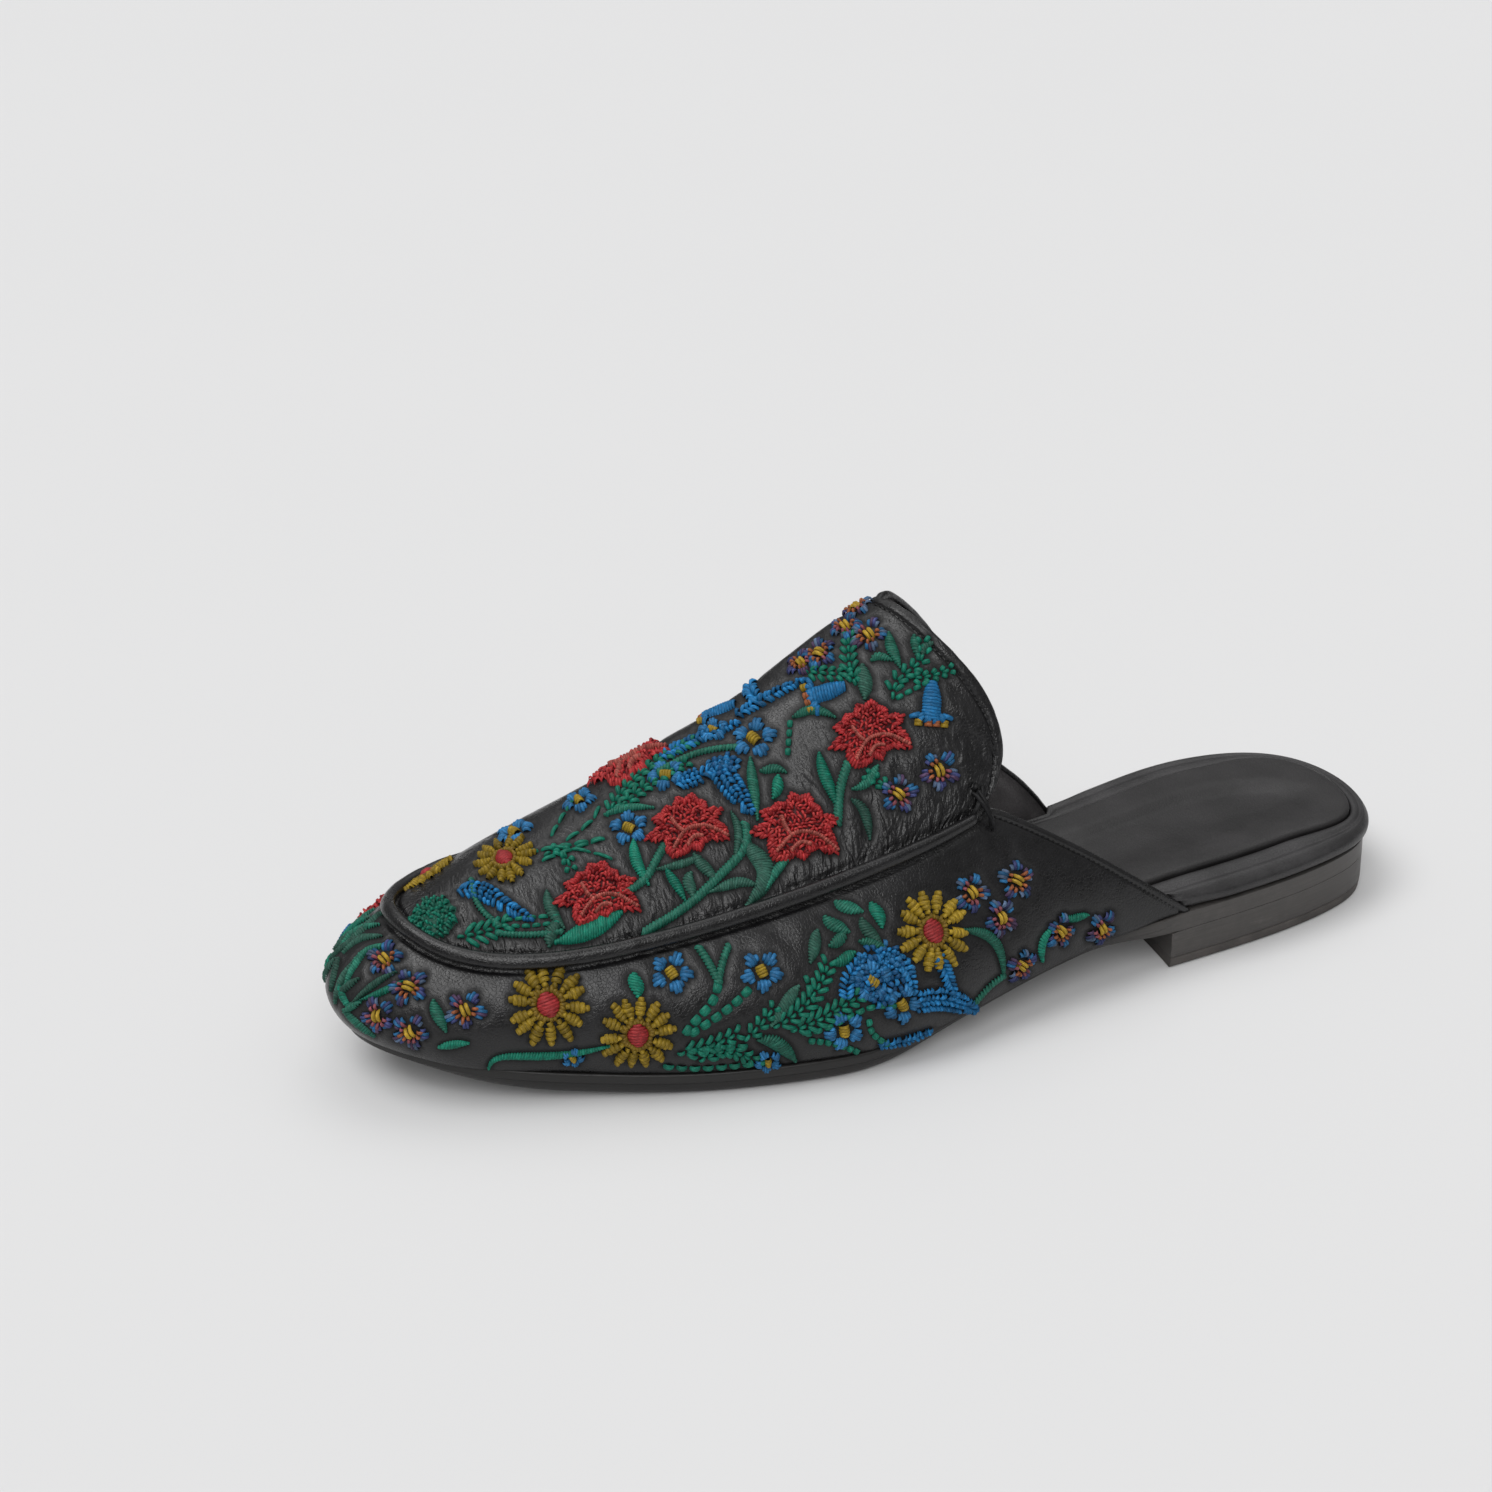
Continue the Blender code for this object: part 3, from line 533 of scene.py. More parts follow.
# Satin stems: width (mm), then (u, w) stops
CORDS = (
    (2, ((5.9, 1.06), (5.3, 1.14), (4.9, 1.22), (4.55, 1.3), (4.45, 1.4))),
    (1.8, ((6.25, 1.3), (5.8, 1.32), (5.55, 1.4), (5.4, 1.46))),
    (2, ((3.1, 1.44), (3.3, 1.36), (3.45, 1.24))),
    (1.4, ((5.1, 1.86), (4.6, 1.84), (4.15, 1.76))),
    (1.7, ((5.35, 0.88), (5.3, 0.78), (5.25, 0.64))),
    (1.5, ((5.05, 0.84), (5.15, 0.76), (5.25, 0.64))),
    (1.2, ((7.8, 1.24), (7.35, 1.2), (6.9, 1.18))),
    (1.5, ((2.45, 0.12), (2.65, 0.1), (2.85, 0.04))),
    (2.2, ((12.2, 0.5), (12.7, 0.4), (13.2, 0.42), (13.65, 0.44))),
    (1.6, ((14.8, 0.92), (14.8, 0.78), (14.7, 0.58))),
    (1.2, ((7.75, 1.3), (8.05, 1.52), (8.1, 1.8))),
)

# Stems of separate stitches: width and length of a stitch (mm), then (u, w) stops
DASHES = (
    (1, 3.4, ((7.1, 1.8), (6.6, 1.72), (6, 1.64))),
    (0.9, 3.6, ((6.9, 1.68), (6.35, 1.66), (6, 1.64))),
    (0.8, 4.5, ((6.75, 1.76), (6.3, 1.62), (6, 1.5))),
    (0.9, 3.4, ((13.85, 1.98), (13.6, 2.08), (13.35, 2.18))),
    (0.9, 3.4, ((5.9, 1.86), (6.1, 1.78), (6.5, 1.74))),
    (1, 2.2, ((7.7, 1.34), (7.3, 1.32), (6.85, 1.28))),
    (1, 2.2, ((7.75, 1.3), (7.3, 1.26), (6.85, 1.24))),
    (1.3, 1.7, ((3.7, 1.6), (3.6, 1.66), (3.45, 1.74))),
    (2.1, 2.6, ((5.25, 0.64), (5.35, 0.52), (5.55, 0.42), (5.7, 0.32))),
    (2, 2.6, ((4.95, 0.56), (5.15, 0.48), (5.4, 0.4), (5.65, 0.32))),
    (1.5, 2.8, ((5.95, 0.08), (5.6, 0.04), (4.95, 0.04))),
    (1.8, 2.4, ((5.7, 0.2), (5.4, 0.2), (5.1, 0.18))),
    (1.4, 2.4, ((4.6, 0.22), (4.35, 0.22), (3.95, 0.28), (3.65, 0.24))),
    (1.5, 1.8, ((3.95, 0.22), (3.95, 0.12), (3.8, 0))),
    (1.6, 1.8, ((4.55, 0.16), (4.3, 0.1), (4.1, 0))),
    (1.3, 2.2, ((4.4, 0.56), (4.4, 0.48), (4.4, 0.38))),
    (1.2, 2, ((1.25, 1.58), (1.7, 1.58), (2.05, 1.58))),
    (1.5, 1.7, ((14.45, 0.4), (14.55, 0.52), (14.7, 0.64))),
    (1.5, 1.7, ((14.9, 0.36), (14.85, 0.5), (14.85, 0.68))),
    (1.3, 2, ((14.3, 0.72), (14.45, 0.62), (14.6, 0.5))),
    (1.3, 2.2, ((12.7, 0.4), (13.1, 0.28), (13.3, 0.2))),
)

# Leafy sprigs: width (mm), then (u, w) stops
SPRIGS = (
    (5, ((5.9, 1.76), (5.6, 1.86), (5.15, 1.92), (4.6, 1.92))),
    (4.4, ((5.8, 1.76), (5.5, 1.8), (5.2, 1.82), (4.8, 1.82))),
    (5, ((2.45, 1.7), (2.3, 1.8), (1.95, 1.9))),
    (4.4, ((2.95, 1.9), (2.7, 1.82), (2.35, 1.74))),
    (4.6, ((2.1, 1.58), (1.8, 1.64), (1.15, 1.66), (0.6, 1.72))),
    (3.4, ((1.65, 1.64), (1.3, 1.6), (0.55, 1.58))),
    (5.2, ((5.8, 0.18), (5.5, 0.22), (5.2, 0.28))),
    (4.4, ((5.15, 0.22), (4.95, 0.32), (4.8, 0.4))),
    (6, ((4.85, 0.28), (4.55, 0.36), (4.3, 0.48), (4.15, 0.58))),
    (6, ((4.7, 0.24), (4.4, 0.28), (4, 0.36))),
    (5, ((5.6, 0.1), (5.35, 0.18), (5.1, 0.08))),
    (6.5, ((8.55, 1.2), (8.15, 1.25), (7.7, 1.3))),
    (3.6, ((6.85, 1.7), (6.6, 1.7), (6.55, 1.56))),
    (5, ((15.7, 0.76), (16.05, 0.84), (16.35, 0.90))),
    (5, ((15.05, 0.90), (14.85, 0.80), (14.65, 0.66))),
    (5.5, ((14.35, 1.26), (14.9, 1.38), (15.55, 1.38))),
    (5.5, ((15.75, 1.56), (16.4, 1.68), (17.1, 1.76))),
    (3.6, ((2.7, 1.26), (2.8, 1.32), (2.9, 1.36))),
)


def placed(points):
    """Table points in mm, as metres from the origin under the heel."""
    return (np.asarray(points, float) - (HEEL_MIDDLE, 0.0, 0.0)) * MM


def unit(vectors):
    vectors = np.asarray(vectors, float)
    return vectors / np.linalg.norm(vectors, axis=-1, keepdims=True)


def spline(knots, values, at, closed=False):
    """Smooth cubic curve through the rows of values at the knots, read at the places in at."""
    knots = np.asarray(knots, float)
    values = np.asarray(values, float).reshape(len(knots), -1)
    step = np.diff(knots)
    rise = np.diff(values, axis=0) / step[:, None]
    last = len(knots) - 1
    system = np.eye(last + 1)
    bend = np.zeros_like(values)
    for i in range(1, last):
        system[i, i - 1:i + 2] = step[i - 1], 2 * (step[i - 1] + step[i]), step[i]
        bend[i] = 6 * (rise[i] - rise[i - 1])
    if closed:
        system[0, :2] = 2 * (step[0] + step[-1]), step[0]
        system[0, last - 1] = step[-1]
        bend[0] = 6 * (rise[0] - rise[-1])
        system[last, 0] = -1
    curve = np.linalg.solve(system, bend)
    at = np.asarray(at, float)
    i = np.clip(np.searchsorted(knots, at, side="right") - 1, 0, last - 1)
    width = step[i][:, None]
    before = (knots[i + 1] - at)[:, None]
    after = (at - knots[i])[:, None]
    return (
        (curve[i] * before**3 + curve[i + 1] * after**3) / (6 * width)
        + (values[i] / width - curve[i] * width / 6) * before
        + (values[i + 1] / width - curve[i + 1] * width / 6) * after
    )


def lengths_along(points):
    """Distance along a line of points, from 0 at its start."""
    return np.concatenate([[0.0], np.cumsum(np.linalg.norm(np.diff(points, axis=0), axis=1))])


def resampled(points, at, values=None):
    """The line of points, or the values that go with them, read at these distances along it."""
    gone = lengths_along(points)
    columns = (points if values is None else values).T
    return np.stack([np.interp(at, gone, column) for column in columns], axis=1)


def softened(corners, count, closed=False):
    """One soft line of count points through the corners."""
    gaps = np.linalg.norm(np.diff(corners, axis=0), axis=1)
    knots = np.concatenate([[0.0], np.cumsum(gaps ** 0.5)])
    return spline(knots, corners, np.linspace(0.0, knots[-1], count), closed)


def sole_sides():
    """The outer and the inner half of the sole's outline, each a fine line from heel to toe."""
    x = OUTLINE[:, 0] * SOLE_LENGTH
    outer = np.column_stack([x, OUTLINE[:, 1]])
    inner = np.column_stack([x, -OUTLINE[:, 2]])[::-1]
    corners = np.vstack([(0.0, 0.0), outer, (SOLE_LENGTH, TOE_TIP_Y), inner, (0.0, 0.0)])
    loop = softened(corners, 400, closed=True)
    tip = int(loop[:, 0].argmax())
    return loop[: tip + 1], loop[tip:][::-1]


OUTER_SIDE, INNER_SIDE = sole_sides()


def left_of(line, at, reach):
    """Directions to the left of a flat line at these distances along it, judged over reach mm."""
    ahead = resampled(line, at + reach) - resampled(line, at - reach)
    return unit(np.column_stack([-ahead[:, 1], ahead[:, 0]]))


def edge_line(side, at):
    """Points on one side of the outline, so far from the heel's back, and their outward directions."""
    outward = left_of(side, at, 0.5)
    if side is INNER_SIDE:
        outward = -outward
    outward[at <= 0] = (-1.0, 0.0)
    outward[at >= lengths_along(side)[-1]] = (1.0, 0.0)
    return resampled(side, at), outward


def smooth_step(x, start, end):
    share = np.clip((np.asarray(x, float) - start) / (end - start), 0.0, 1.0)
    return share * share * (3 - 2 * share)


def seat_height(x):
    """Top of the outsole: flat under the heel, down the shank, flat at the ball, up at the toe."""
    spring = np.clip((np.asarray(x, float) - SPRING_START) / (SOLE_LENGTH - SPRING_START), 0.0, 1.1)
    shank = smooth_step(x, SHANK_START, SHANK_END)
    return HEEL_SEAT_HEIGHT + (BALL_HEIGHT - HEEL_SEAT_HEIGHT) * shank + TOE_SPRING * spring**2


def sole_bottom(x, share=0.0):
    """Underside of the outsole, the same at every share across: thick to the ball, thinner at the toe."""
    thickness = OUTSOLE_THICKNESS + (BALL_HEIGHT - OUTSOLE_THICKNESS) * smooth_step(x, BREAST, SHANK_END)
    return seat_height(x) - thickness + TOE_THINNING * smooth_step(x, TOE_START, SOLE_LENGTH)


def foot_of_ribs(around):
    """Points and outward directions on the sole's outline at these distances from the heel's back."""
    loop = np.vstack([OUTER_SIDE, INNER_SIDE[-2::-1]])
    return resampled(loop, around), left_of(loop, around, 1.0)


def wall_line(foot, outward, seam, swell, rise, reach, drop):
    """One rib of the side wall, a cubic curve from the sole's edge up to the apron seam."""
    height = seam[2] - foot[2]
    across = seam[:2] - foot[:2]
    drift = across - outward * (across @ outward)
    low = np.append(foot[:2] + drift / 3 + outward * swell, foot[2] + rise * height)
    high = np.append(seam[:2] - drift / 3 + outward * reach, seam[2] - drop * height)
    t = np.linspace(0.0, 1.0, RIB_POINTS)[:, None]
    s = 1 - t
    return s**3 * foot + 3 * s * s * t * low + 3 * s * t * t * high + t**3 * seam


def apron_line(seam, ridge, slope, dome, lean):
    """One rib of the apron, from its seam to the ridge: level across the ridge, leaning back low down."""
    plan = ridge[:2] - seam[:2]
    share = 1 - (1 - np.linspace(0.0, 1.0, RIB_POINTS)[:, None]) ** 1.5
    climb = 1 - (1 - share) ** dome
    ramp = slope * plan[0]
    rise = ridge[2] - seam[2]
    spots = seam[:2] + plan * share
    spots[:, :1] -= lean * LEAN_PEAK * climb * (1 - climb) ** 1.5
    return np.column_stack([spots, seam[2] + ramp * share + (rise - ramp) * climb])


def smooth_bump(distance, width):
    """1 on a line and 0 away from it, width being where it has fallen to about a third."""
    return np.exp(-((distance / width) ** 2))


def rib_columns(places):
    """The rib table read at these places, from 0 at the outer back edge to 20 at the inner one."""
    table = np.vstack([OUTER_RIBS, TOE_RIB, INNER_RIBS[::-1]])
    outer_along = lengths_along(OUTER_SIDE)
    inner_along = lengths_along(INNER_SIDE)
    whole = outer_along[-1] + inner_along[-1]
    rows = len(OUTER_RIBS)
    table[:rows, 0] = np.interp(OUTER_RIBS[:, 0], OUTER_SIDE[:, 0], outer_along)
    table[rows, 0] = outer_along[-1]
    table[rows + 1:, 0] = whole - np.interp(INNER_RIBS[::-1, 0], INNER_SIDE[:, 0], inner_along)
    return spline(np.arange(len(table)), table, places)


def quads_of(index):
    """Quads between neighbours in a grid of point numbers, or in a stack of such grids."""
    near, far = index[..., :-1, :], index[..., 1:, :]
    return np.stack([near[..., :-1], near[..., 1:], far[..., 1:], far[..., :-1]], axis=-1).reshape(-1, 4)


def lattice_faces(columns, rows):
    """Quads of a lattice whose first and last columns meet on the ridge, the last row."""
    column, row = np.meshgrid(np.arange(columns), np.arange(rows), indexing="ij")
    shared = np.where(row == rows - 1, np.minimum(column, columns - 1 - column), column)
    return quads_of(shared * rows + row)


def lattice_normals(grid):
    """Unit normals of a lattice of points, with the two sides of the ridge sharing theirs."""
    columns, rows = grid.shape[:2]
    quads = lattice_faces(columns, rows)
    points = grid.reshape(-1, 3)
    a, b, c, d = (points[quads[:, k]] for k in range(4))
    face = np.cross(c - a, d - b)
    normals = np.zeros_like(points)
    for k in range(4):
        np.add.at(normals, quads[:, k], face)
    normals /= np.maximum(np.linalg.norm(normals, axis=1, keepdims=True), 1e-9)
    normals = normals.reshape(grid.shape)
    late = np.arange(columns) > columns // 2
    normals[late, -1] = normals[::-1, -1][late]
    return normals


def upper_lattice():
    """Outside of the upper before its creases: a column of points for each rib, from sole to ridge."""
    ribs = rib_columns(np.linspace(0.0, 20.0, RIBS))
    feet, outward = foot_of_ribs(ribs[:, 0])
    feet = np.column_stack([feet, seat_height(feet[:, 0]) + SEAT_GAP])
    ridge_x = (ribs[:, 4] + ribs[::-1, 4]) / 2
    ridge = np.column_stack([ridge_x, spline(RIDGE[:, 0], RIDGE[:, 1:], ridge_x)])
    around = np.concatenate([ridge_x + 0.5, ridge_x - 0.5])
    ridge_z = spline(RIDGE[:, 0], RIDGE[:, 2], around)[:, 0]
    slope = ridge_z[:RIBS] - ridge_z[RIBS:]
    grid = []
    for i, rib in enumerate(ribs):
        seam = rib[1:4]
        wall = wall_line(feet[i], outward[i], seam, *rib[5:9])
        apron = apron_line(seam, ridge[i], slope[i], *rib[9:])
        wall_rows = np.linspace(0.0, lengths_along(wall)[-1], WALL_STEPS + 1)
        apron_rows = np.linspace(0.0, lengths_along(apron)[-1], APRON_STEPS + 1)[1:]
        grid.append(np.vstack([resampled(wall, wall_rows), resampled(apron, apron_rows)]))
    return np.array(grid), outward


def walked(grid, axis):
    """For each lattice point, its distance (mm) from the start of its row (axis 0) or column (axis 1)."""
    steps = np.linalg.norm(np.diff(grid, axis=axis), axis=2)
    return np.insert(np.cumsum(steps, axis=axis), 0, 0.0, axis=axis)


def along_columns(grid):
    """For each lattice point, its distance (mm) from the apron seam, along its own rib."""
    gone = walked(grid, 1)
    return gone - gone[:, WALL_STEPS:WALL_STEPS + 1]


def along_rows(grid):
    """For each lattice point, its distance (mm) from the upper's back edge, along its own row."""
    gone = walked(grid, 0)
    return np.minimum(gone, gone[-1] - gone)


def lattice_place(u, w):
    """Column and row, as fractions, of a place (u, w). w over 2 goes on past the ridge."""
    u = np.asarray(u, float)
    w = np.asarray(w, float)
    over = w > 2
    u = np.where(over, 20 - u, u)
    w = np.where(over, 4 - w, w)
    column = np.clip(u, 0.0, 20.0) / 20 * (RIBS - 1)
    row = np.where(w < 1, w * WALL_STEPS, WALL_STEPS + (w - 1) * APRON_STEPS)
    return column, np.clip(row, 0.0, WALL_STEPS + APRON_STEPS)


def read_lattice(values, u, w):
    """Lattice values read between its points at places (u, w)."""
    column, row = lattice_place(u, w)
    i = np.minimum(column.astype(int), RIBS - 2)
    j = np.minimum(row.astype(int), WALL_STEPS + APRON_STEPS - 1)
    a = (column - i)[..., None]
    b = (row - j)[..., None]
    low = values[i, j] * (1 - a) + values[i + 1, j] * a
    high = values[i, j + 1] * (1 - a) + values[i + 1, j + 1] * a
    return low * (1 - b) + high * b


def noise_field(points, size, seed):
    """Smooth noise from -1 to 1 at each point, its features about size mm across."""
    shift = Vector((seed * 17.3, seed * 5.1, seed * 9.7))
    flat = points.reshape(-1, points.shape[-1]) / size
    found = [noise.noise(Vector(spot) + shift) for spot in flat.tolist()]
    return np.array(found).reshape(points.shape[:-1])


def relief(grid):
    """How far each lattice point stands off the plain last: waves, creases, puckers and hem (mm)."""
    from_seam = along_columns(grid)
    from_edge = along_rows(grid)
    seam = grid[:, WALL_STEPS]
    along_seam = lengths_along(seam)[:, None] + 0 * from_seam
    rise = sum(height * noise_field(grid, size, seed) for seed, (height, size) in enumerate(WAVES, 1))
    for u0, w0, u1, w1, width, depth in CREASES:
        share = np.linspace(0.0, 1.0, 13)
        line = read_lattice(grid, u0 + (u1 - u0) * share, w0 + (w1 - w0) * share)
        distance = np.full(grid.shape[:2], 99.0)
        place = np.zeros(grid.shape[:2])
        for k, spot in enumerate(line):
            reach = np.linalg.norm(grid - spot, axis=2)
            nearer = reach < distance
            place[nearer] = share[k]
            distance = np.where(nearer, reach, distance)
        fade = np.sin(np.pi * (0.1 + 0.8 * place))
        raised = LIPS[0] * smooth_bump(distance - LIPS[1] * width, width)
        rise -= depth * fade * (smooth_bump(distance, width) - raised)

    stripes = np.stack([along_seam / PUCKER_SIZE[0], from_seam / PUCKER_SIZE[1], 0 * from_seam], axis=-1)
    pucker = noise_field(stripes, 1.0, 3)
    reach = np.where(from_seam > 0, PUCKER_REACH, WALL_PUCKER_REACH)
    away = np.abs(from_seam)
    rise += PUCKER_DEPTH * pucker * np.exp(-away / reach) * (away > PUCKER_START)
    rise -= HEM_DEPTH * smooth_bump(from_edge - HEM, HEM_SPREAD)
    return rise + HEM_ROLL * smooth_bump(from_edge - HEM * 0.45, 1.0)


def seam_crease(grid):
    """How deep the leather is pulled in along both sides of the piping, deeper on the wall (mm)."""
    from_seam = along_columns(grid)
    depth = np.where(from_seam > 0, SEAM_CREASE_DEPTH, WALL_CREASE)
    return depth * smooth_bump(np.abs(from_seam) - SEAM_CREASE, SEAM_CREASE_SPREAD)


def rolled(grid, normals):
    """Columns that fold the back edge over to the lining, for the outer and the inner side."""
    off = []
    for edge, inward in ((0, 3), (-1, -4)):
        away = grid[edge] - grid[inward]
        off.append(unit(away - normals[edge] * np.sum(away * normals[edge], axis=1, keepdims=True)))
    off[0][-1] = off[1][-1] = unit(off[0][-1] + off[1][-1])
    turns = []
    for edge, away in zip((0, -1), off):
        middle = grid[edge] - normals[edge] * LEATHER / 2
        bulge = EDGE_ROLL * (1 + EDGE_WAVE[0] * noise_field(grid[edge], EDGE_WAVE[1], 4))[:, None]
        turns.append(np.array([
            middle + normals[edge] * math.cos(angle) * LEATHER / 2 + away * math.sin(angle) * bulge
            for angle in ROLL_ANGLES
        ]))
    return turns[0][::-1], turns[1]


def dented(points, normals, sewn):
    """Pulls the leather in near the stitches, and says how near each point is to one (0 to 1): the strength
    of the shade painted round them.
    """
    tree = kdtree.KDTree(len(sewn))
    for k, spot in enumerate(sewn):
        tree.insert(spot, k)
    tree.balance()
    distance = np.array([tree.find(spot)[2] for spot in points.tolist()])
    depth = DENT * smooth_bump(distance, DENT_REACH)
    return points - normals * depth[:, None], smooth_bump(distance, STITCH_SHADE_REACH)


def build_outer(grid, normals, outward, sewn, finish):
    """The upper's leather: the dented lattice, a hem turned over its back edge, and a tuck at the sole."""
    columns, rows = grid.shape[:2]
    points, stitch_shade = dented(grid.reshape(-1, 3), normals.reshape(-1, 3), sewn)
    grid = points.reshape(grid.shape)
    stitch_shade = stitch_shade.reshape(columns, rows)
    first, last = rolled(grid, normals)
    whole = np.concatenate([first, grid, last])
    extra = len(first)
    stitch_shade = np.pad(stitch_shade, ((extra, extra), (0, 0)), mode="edge")
    foot_out = np.pad(outward, ((extra, extra), (0, 0)), mode="edge")
    hidden = waist(whole[:, 0, 0])[:, None] * WAIST_TUCK
    below = len(TUCK)
    folds = np.repeat(whole[:, :1], below, axis=1)
    for k, (inward, down) in enumerate(TUCK):
        folds[:, k, :2] -= foot_out * (inward * (1 + hidden * 0.9))
        folds[:, k, 2] -= down
    whole = np.concatenate([folds, whole], axis=1)
    stitch_shade = np.pad(stitch_shade, ((0, 0), (below, 0)), mode="edge")
    quads = lattice_faces(len(whole), rows + below)
    from_seam = along_columns(whole[:, below:])
    run = lengths_along(whole[:, WALL_STEPS + below])
    run = (run + run[-1] - run[::-1]) / 2
    run = np.minimum(run, run[-1] - run)
    widths = from_seam[:, -1:]
    evened = from_seam * (widths + widths[::-1]) / 2 / widths
    from_seam = np.where(from_seam > 0, evened, from_seam)
    flat = np.stack([run[:, None] + 0 * from_seam, from_seam], axis=-1)
    flat = np.pad(flat, ((0, 0), (below, 0), (0, 0)), mode="edge")
    used, quads = np.unique(quads, return_inverse=True)
    piece = mesh_piece("upper_leather", whole.reshape(-1, 3)[used], quads.reshape(-1, 4), finish)
    # Painted shade: nearness to the stitches, which darkens the leather's colour round them
    add_values(piece, "stitch_shade", stitch_shade.reshape(-1)[used])
    add_flat(piece, flat.reshape(-1, 2)[used])
    return piece


def build_lining(grid, normals, finish):
    """The soft leather that lines the upper, one wall's thickness inside it."""
    inside = grid[::LINING_EVERY, ::2] - normals[::LINING_EVERY, ::2] * LINING_DEPTH
    quads = lattice_faces(*inside.shape[:2])
    used, quads = np.unique(quads, return_inverse=True)
    return mesh_piece("upper_lining", inside.reshape(-1, 3)[used], quads.reshape(-1, 4)[:, ::-1], finish)


def build_piping(grid, normals, finish):
    """The rolled seam round the apron: a plump cord of leather, fullest on its upper side."""
    start = int(round(PIPING_FIRST / 20 * (RIBS - 1)))
    used = np.arange(start, RIBS - start, 2)
    from_seam = along_columns(grid)
    rings = []
    for i in used:
        low, high = (
            np.array([np.interp(at, from_seam[i], column) for column in grid[i].T])
            for at in (-PIPING_HALF_WIDTH, PIPING_HALF_WIDTH)
        )
        from_end = min(i - used[0], used[-1] - i) * 0.4
        fullness = math.sqrt(min(1.0, 0.15 + from_end / PIPING_TAPER))
        up = normals[i, WALL_STEPS] * (PIPING_HEIGHT - PIPING_LIFT) * fullness
        middle = (low + high) / 2 + normals[i, WALL_STEPS] * PIPING_LIFT * fullness
        half = (high - low) / 2 * (0.55 + 0.45 * fullness)
        ring = []
        for angle in PIPING_ANGLES:
            shoulder = 1 + 0.10 * math.sin(2 * angle)
            uneven = 1 + PIPING_WAVE[0] * noise.noise(Vector(middle / PIPING_WAVE[1]))
            ring.append(middle + half * math.cos(angle) + up * math.sin(angle) * shoulder * uneven)
        rings.append(ring)
    rings = np.array(rings)
    count = len(PIPING_ANGLES)
    index = np.arange(len(rings) * count).reshape(-1, count)
    faces = quads_of(index).tolist() + [index[0], index[-1, ::-1]]
    run = lengths_along(rings[:, count // 2])
    flat = np.stack([np.repeat(run, count), np.tile(np.degrees(PIPING_ANGLES) / 30, len(rings))], axis=-1)
    piece = mesh_piece("apron_piping_leather", rings.reshape(-1, 3), faces, finish)
    add_flat(piece, flat)
    return piece


def in_scene(name, data):
    """A new object of this mesh, lamp or camera, in the scene."""
    made = bpy.data.objects.new(name, data)
    bpy.context.scene.collection.objects.link(made)
    return made


def mesh_piece(name, points, faces, finish):
    """A smooth-shaded piece of these points (mm) that rides with the shoe."""
    mesh = bpy.data.meshes.new(name)
    mesh.from_pydata(placed(points).tolist(), [], [list(face) for face in faces])
    mesh.shade_smooth()
    mesh.materials.append(finish)
    piece = in_scene(name, mesh)
    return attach(piece, "root")


def add_values(piece, name, values):
    attribute = piece.data.attributes.new(name, "FLOAT", "POINT")
    attribute.data.foreach_set("value", np.asarray(values, np.float32))


def add_colours(piece, colours):
    attribute = piece.data.color_attributes.new("thread", "FLOAT_COLOR", "POINT")
    opaque = np.column_stack([colours, np.ones(len(colours))])
    attribute.data.foreach_set("color", opaque.astype(np.float32).ravel())


def add_flat(piece, flat):
    """A map of the piece in mm, from one pair of numbers a point."""
    layer = piece.data.uv_layers.new(name="flat")
    corner = np.empty(len(piece.data.loops), np.int32)
    piece.data.loops.foreach_get("vertex_index", corner)
    layer.data.foreach_set("uv", np.asarray(flat, np.float32)[corner].ravel())


def side_stations(side):
    """Distances along one side of the sole, closer at the heel and the toe."""
    share = np.linspace(0.0, 1.0, SIDE_STEPS + 1)
    share = (share + (1 - np.cos(math.pi * share)) / 2) / 2
    return lengths_along(side)[-1] * share


def ring_of(lines, front=()):
    """One closed ring: up the outer line, across the front end, and back down the inner line."""
    outer, inner = lines
    back = inner[:0:-1] if len(front) else inner[-2:0:-1]
    return np.vstack([outer, np.reshape(front, (-1, 3)), back])


def sole_ring(inset, height):
    """A ring round the whole sole: inset(x, wall's start, wall's lean) moves it in, height(x) lifts it."""
    lines = []
    for side, wall in zip((OUTER_SIDE, INNER_SIDE), WALL_STARTS):
        line, outward = edge_line(side, side_stations(side))
        shift = np.broadcast_to(inset(line[:, 0], *wall), len(line))
        moved = line - outward * shift[:, None]
        lines.append(np.column_stack([moved, height(moved[:, 0])]))
    return ring_of(lines)


def heel_ring(inset, height):
    """A ring round the heel, closed in front by the hollowed breast with softened corners."""
    lines = []
    for side in (OUTER_SIDE, INNER_SIDE):
        line, outward = edge_line(side, lengths_along(side))
        moved = line - outward * inset
        front_end = np.interp(BREAST, moved[:, 0], lengths_along(moved))
        moved = resampled(moved, np.linspace(0.0, front_end, HEEL_STEPS + 1))
        lines.append(np.column_stack([moved, height(moved[:, 0])]))
    lines[1][0] = lines[0][0]
    share = np.linspace(0.0, 1.0, ACROSS + 1)[1:-1, None]
    front = lines[0][-1] * (1 - share) + lines[1][-1] * share
    front[:, :1] -= BREAST_HOLLOW * 4 * share * (1 - share)
    front[:, 2] = height(front[:, 0])
    return ring_of(lines, front)


def cap(points, faces, ring, steps, level):
    """Closes a ring with strips from side to side, level(x, share across) giving the height."""
    rows = [[ring[0]] * (ACROSS + 1)]
    for step in range(1, steps):
        outer = ring[step]
        inner = ring[-step]
        row = [outer]
        for share in np.linspace(0.0, 1.0, ACROSS + 1)[1:-1]:
            spot = points[outer] * (1 - share) + points[inner] * share
            row.append(len(points))
            points.append(np.array([spot[0], spot[1], level(spot[0], share)]))
        rows.append(row + [inner])
    at_tip = len(ring) == 2 * steps
    rows.append([ring[steps]] * (ACROSS + 1) if at_tip else ring[steps:steps + ACROSS + 1])
    for near, far in zip(rows, rows[1:]):
        for k in range(ACROSS):
            faces.append(list(dict.fromkeys([near[k], near[k + 1], far[k + 1], far[k]])))


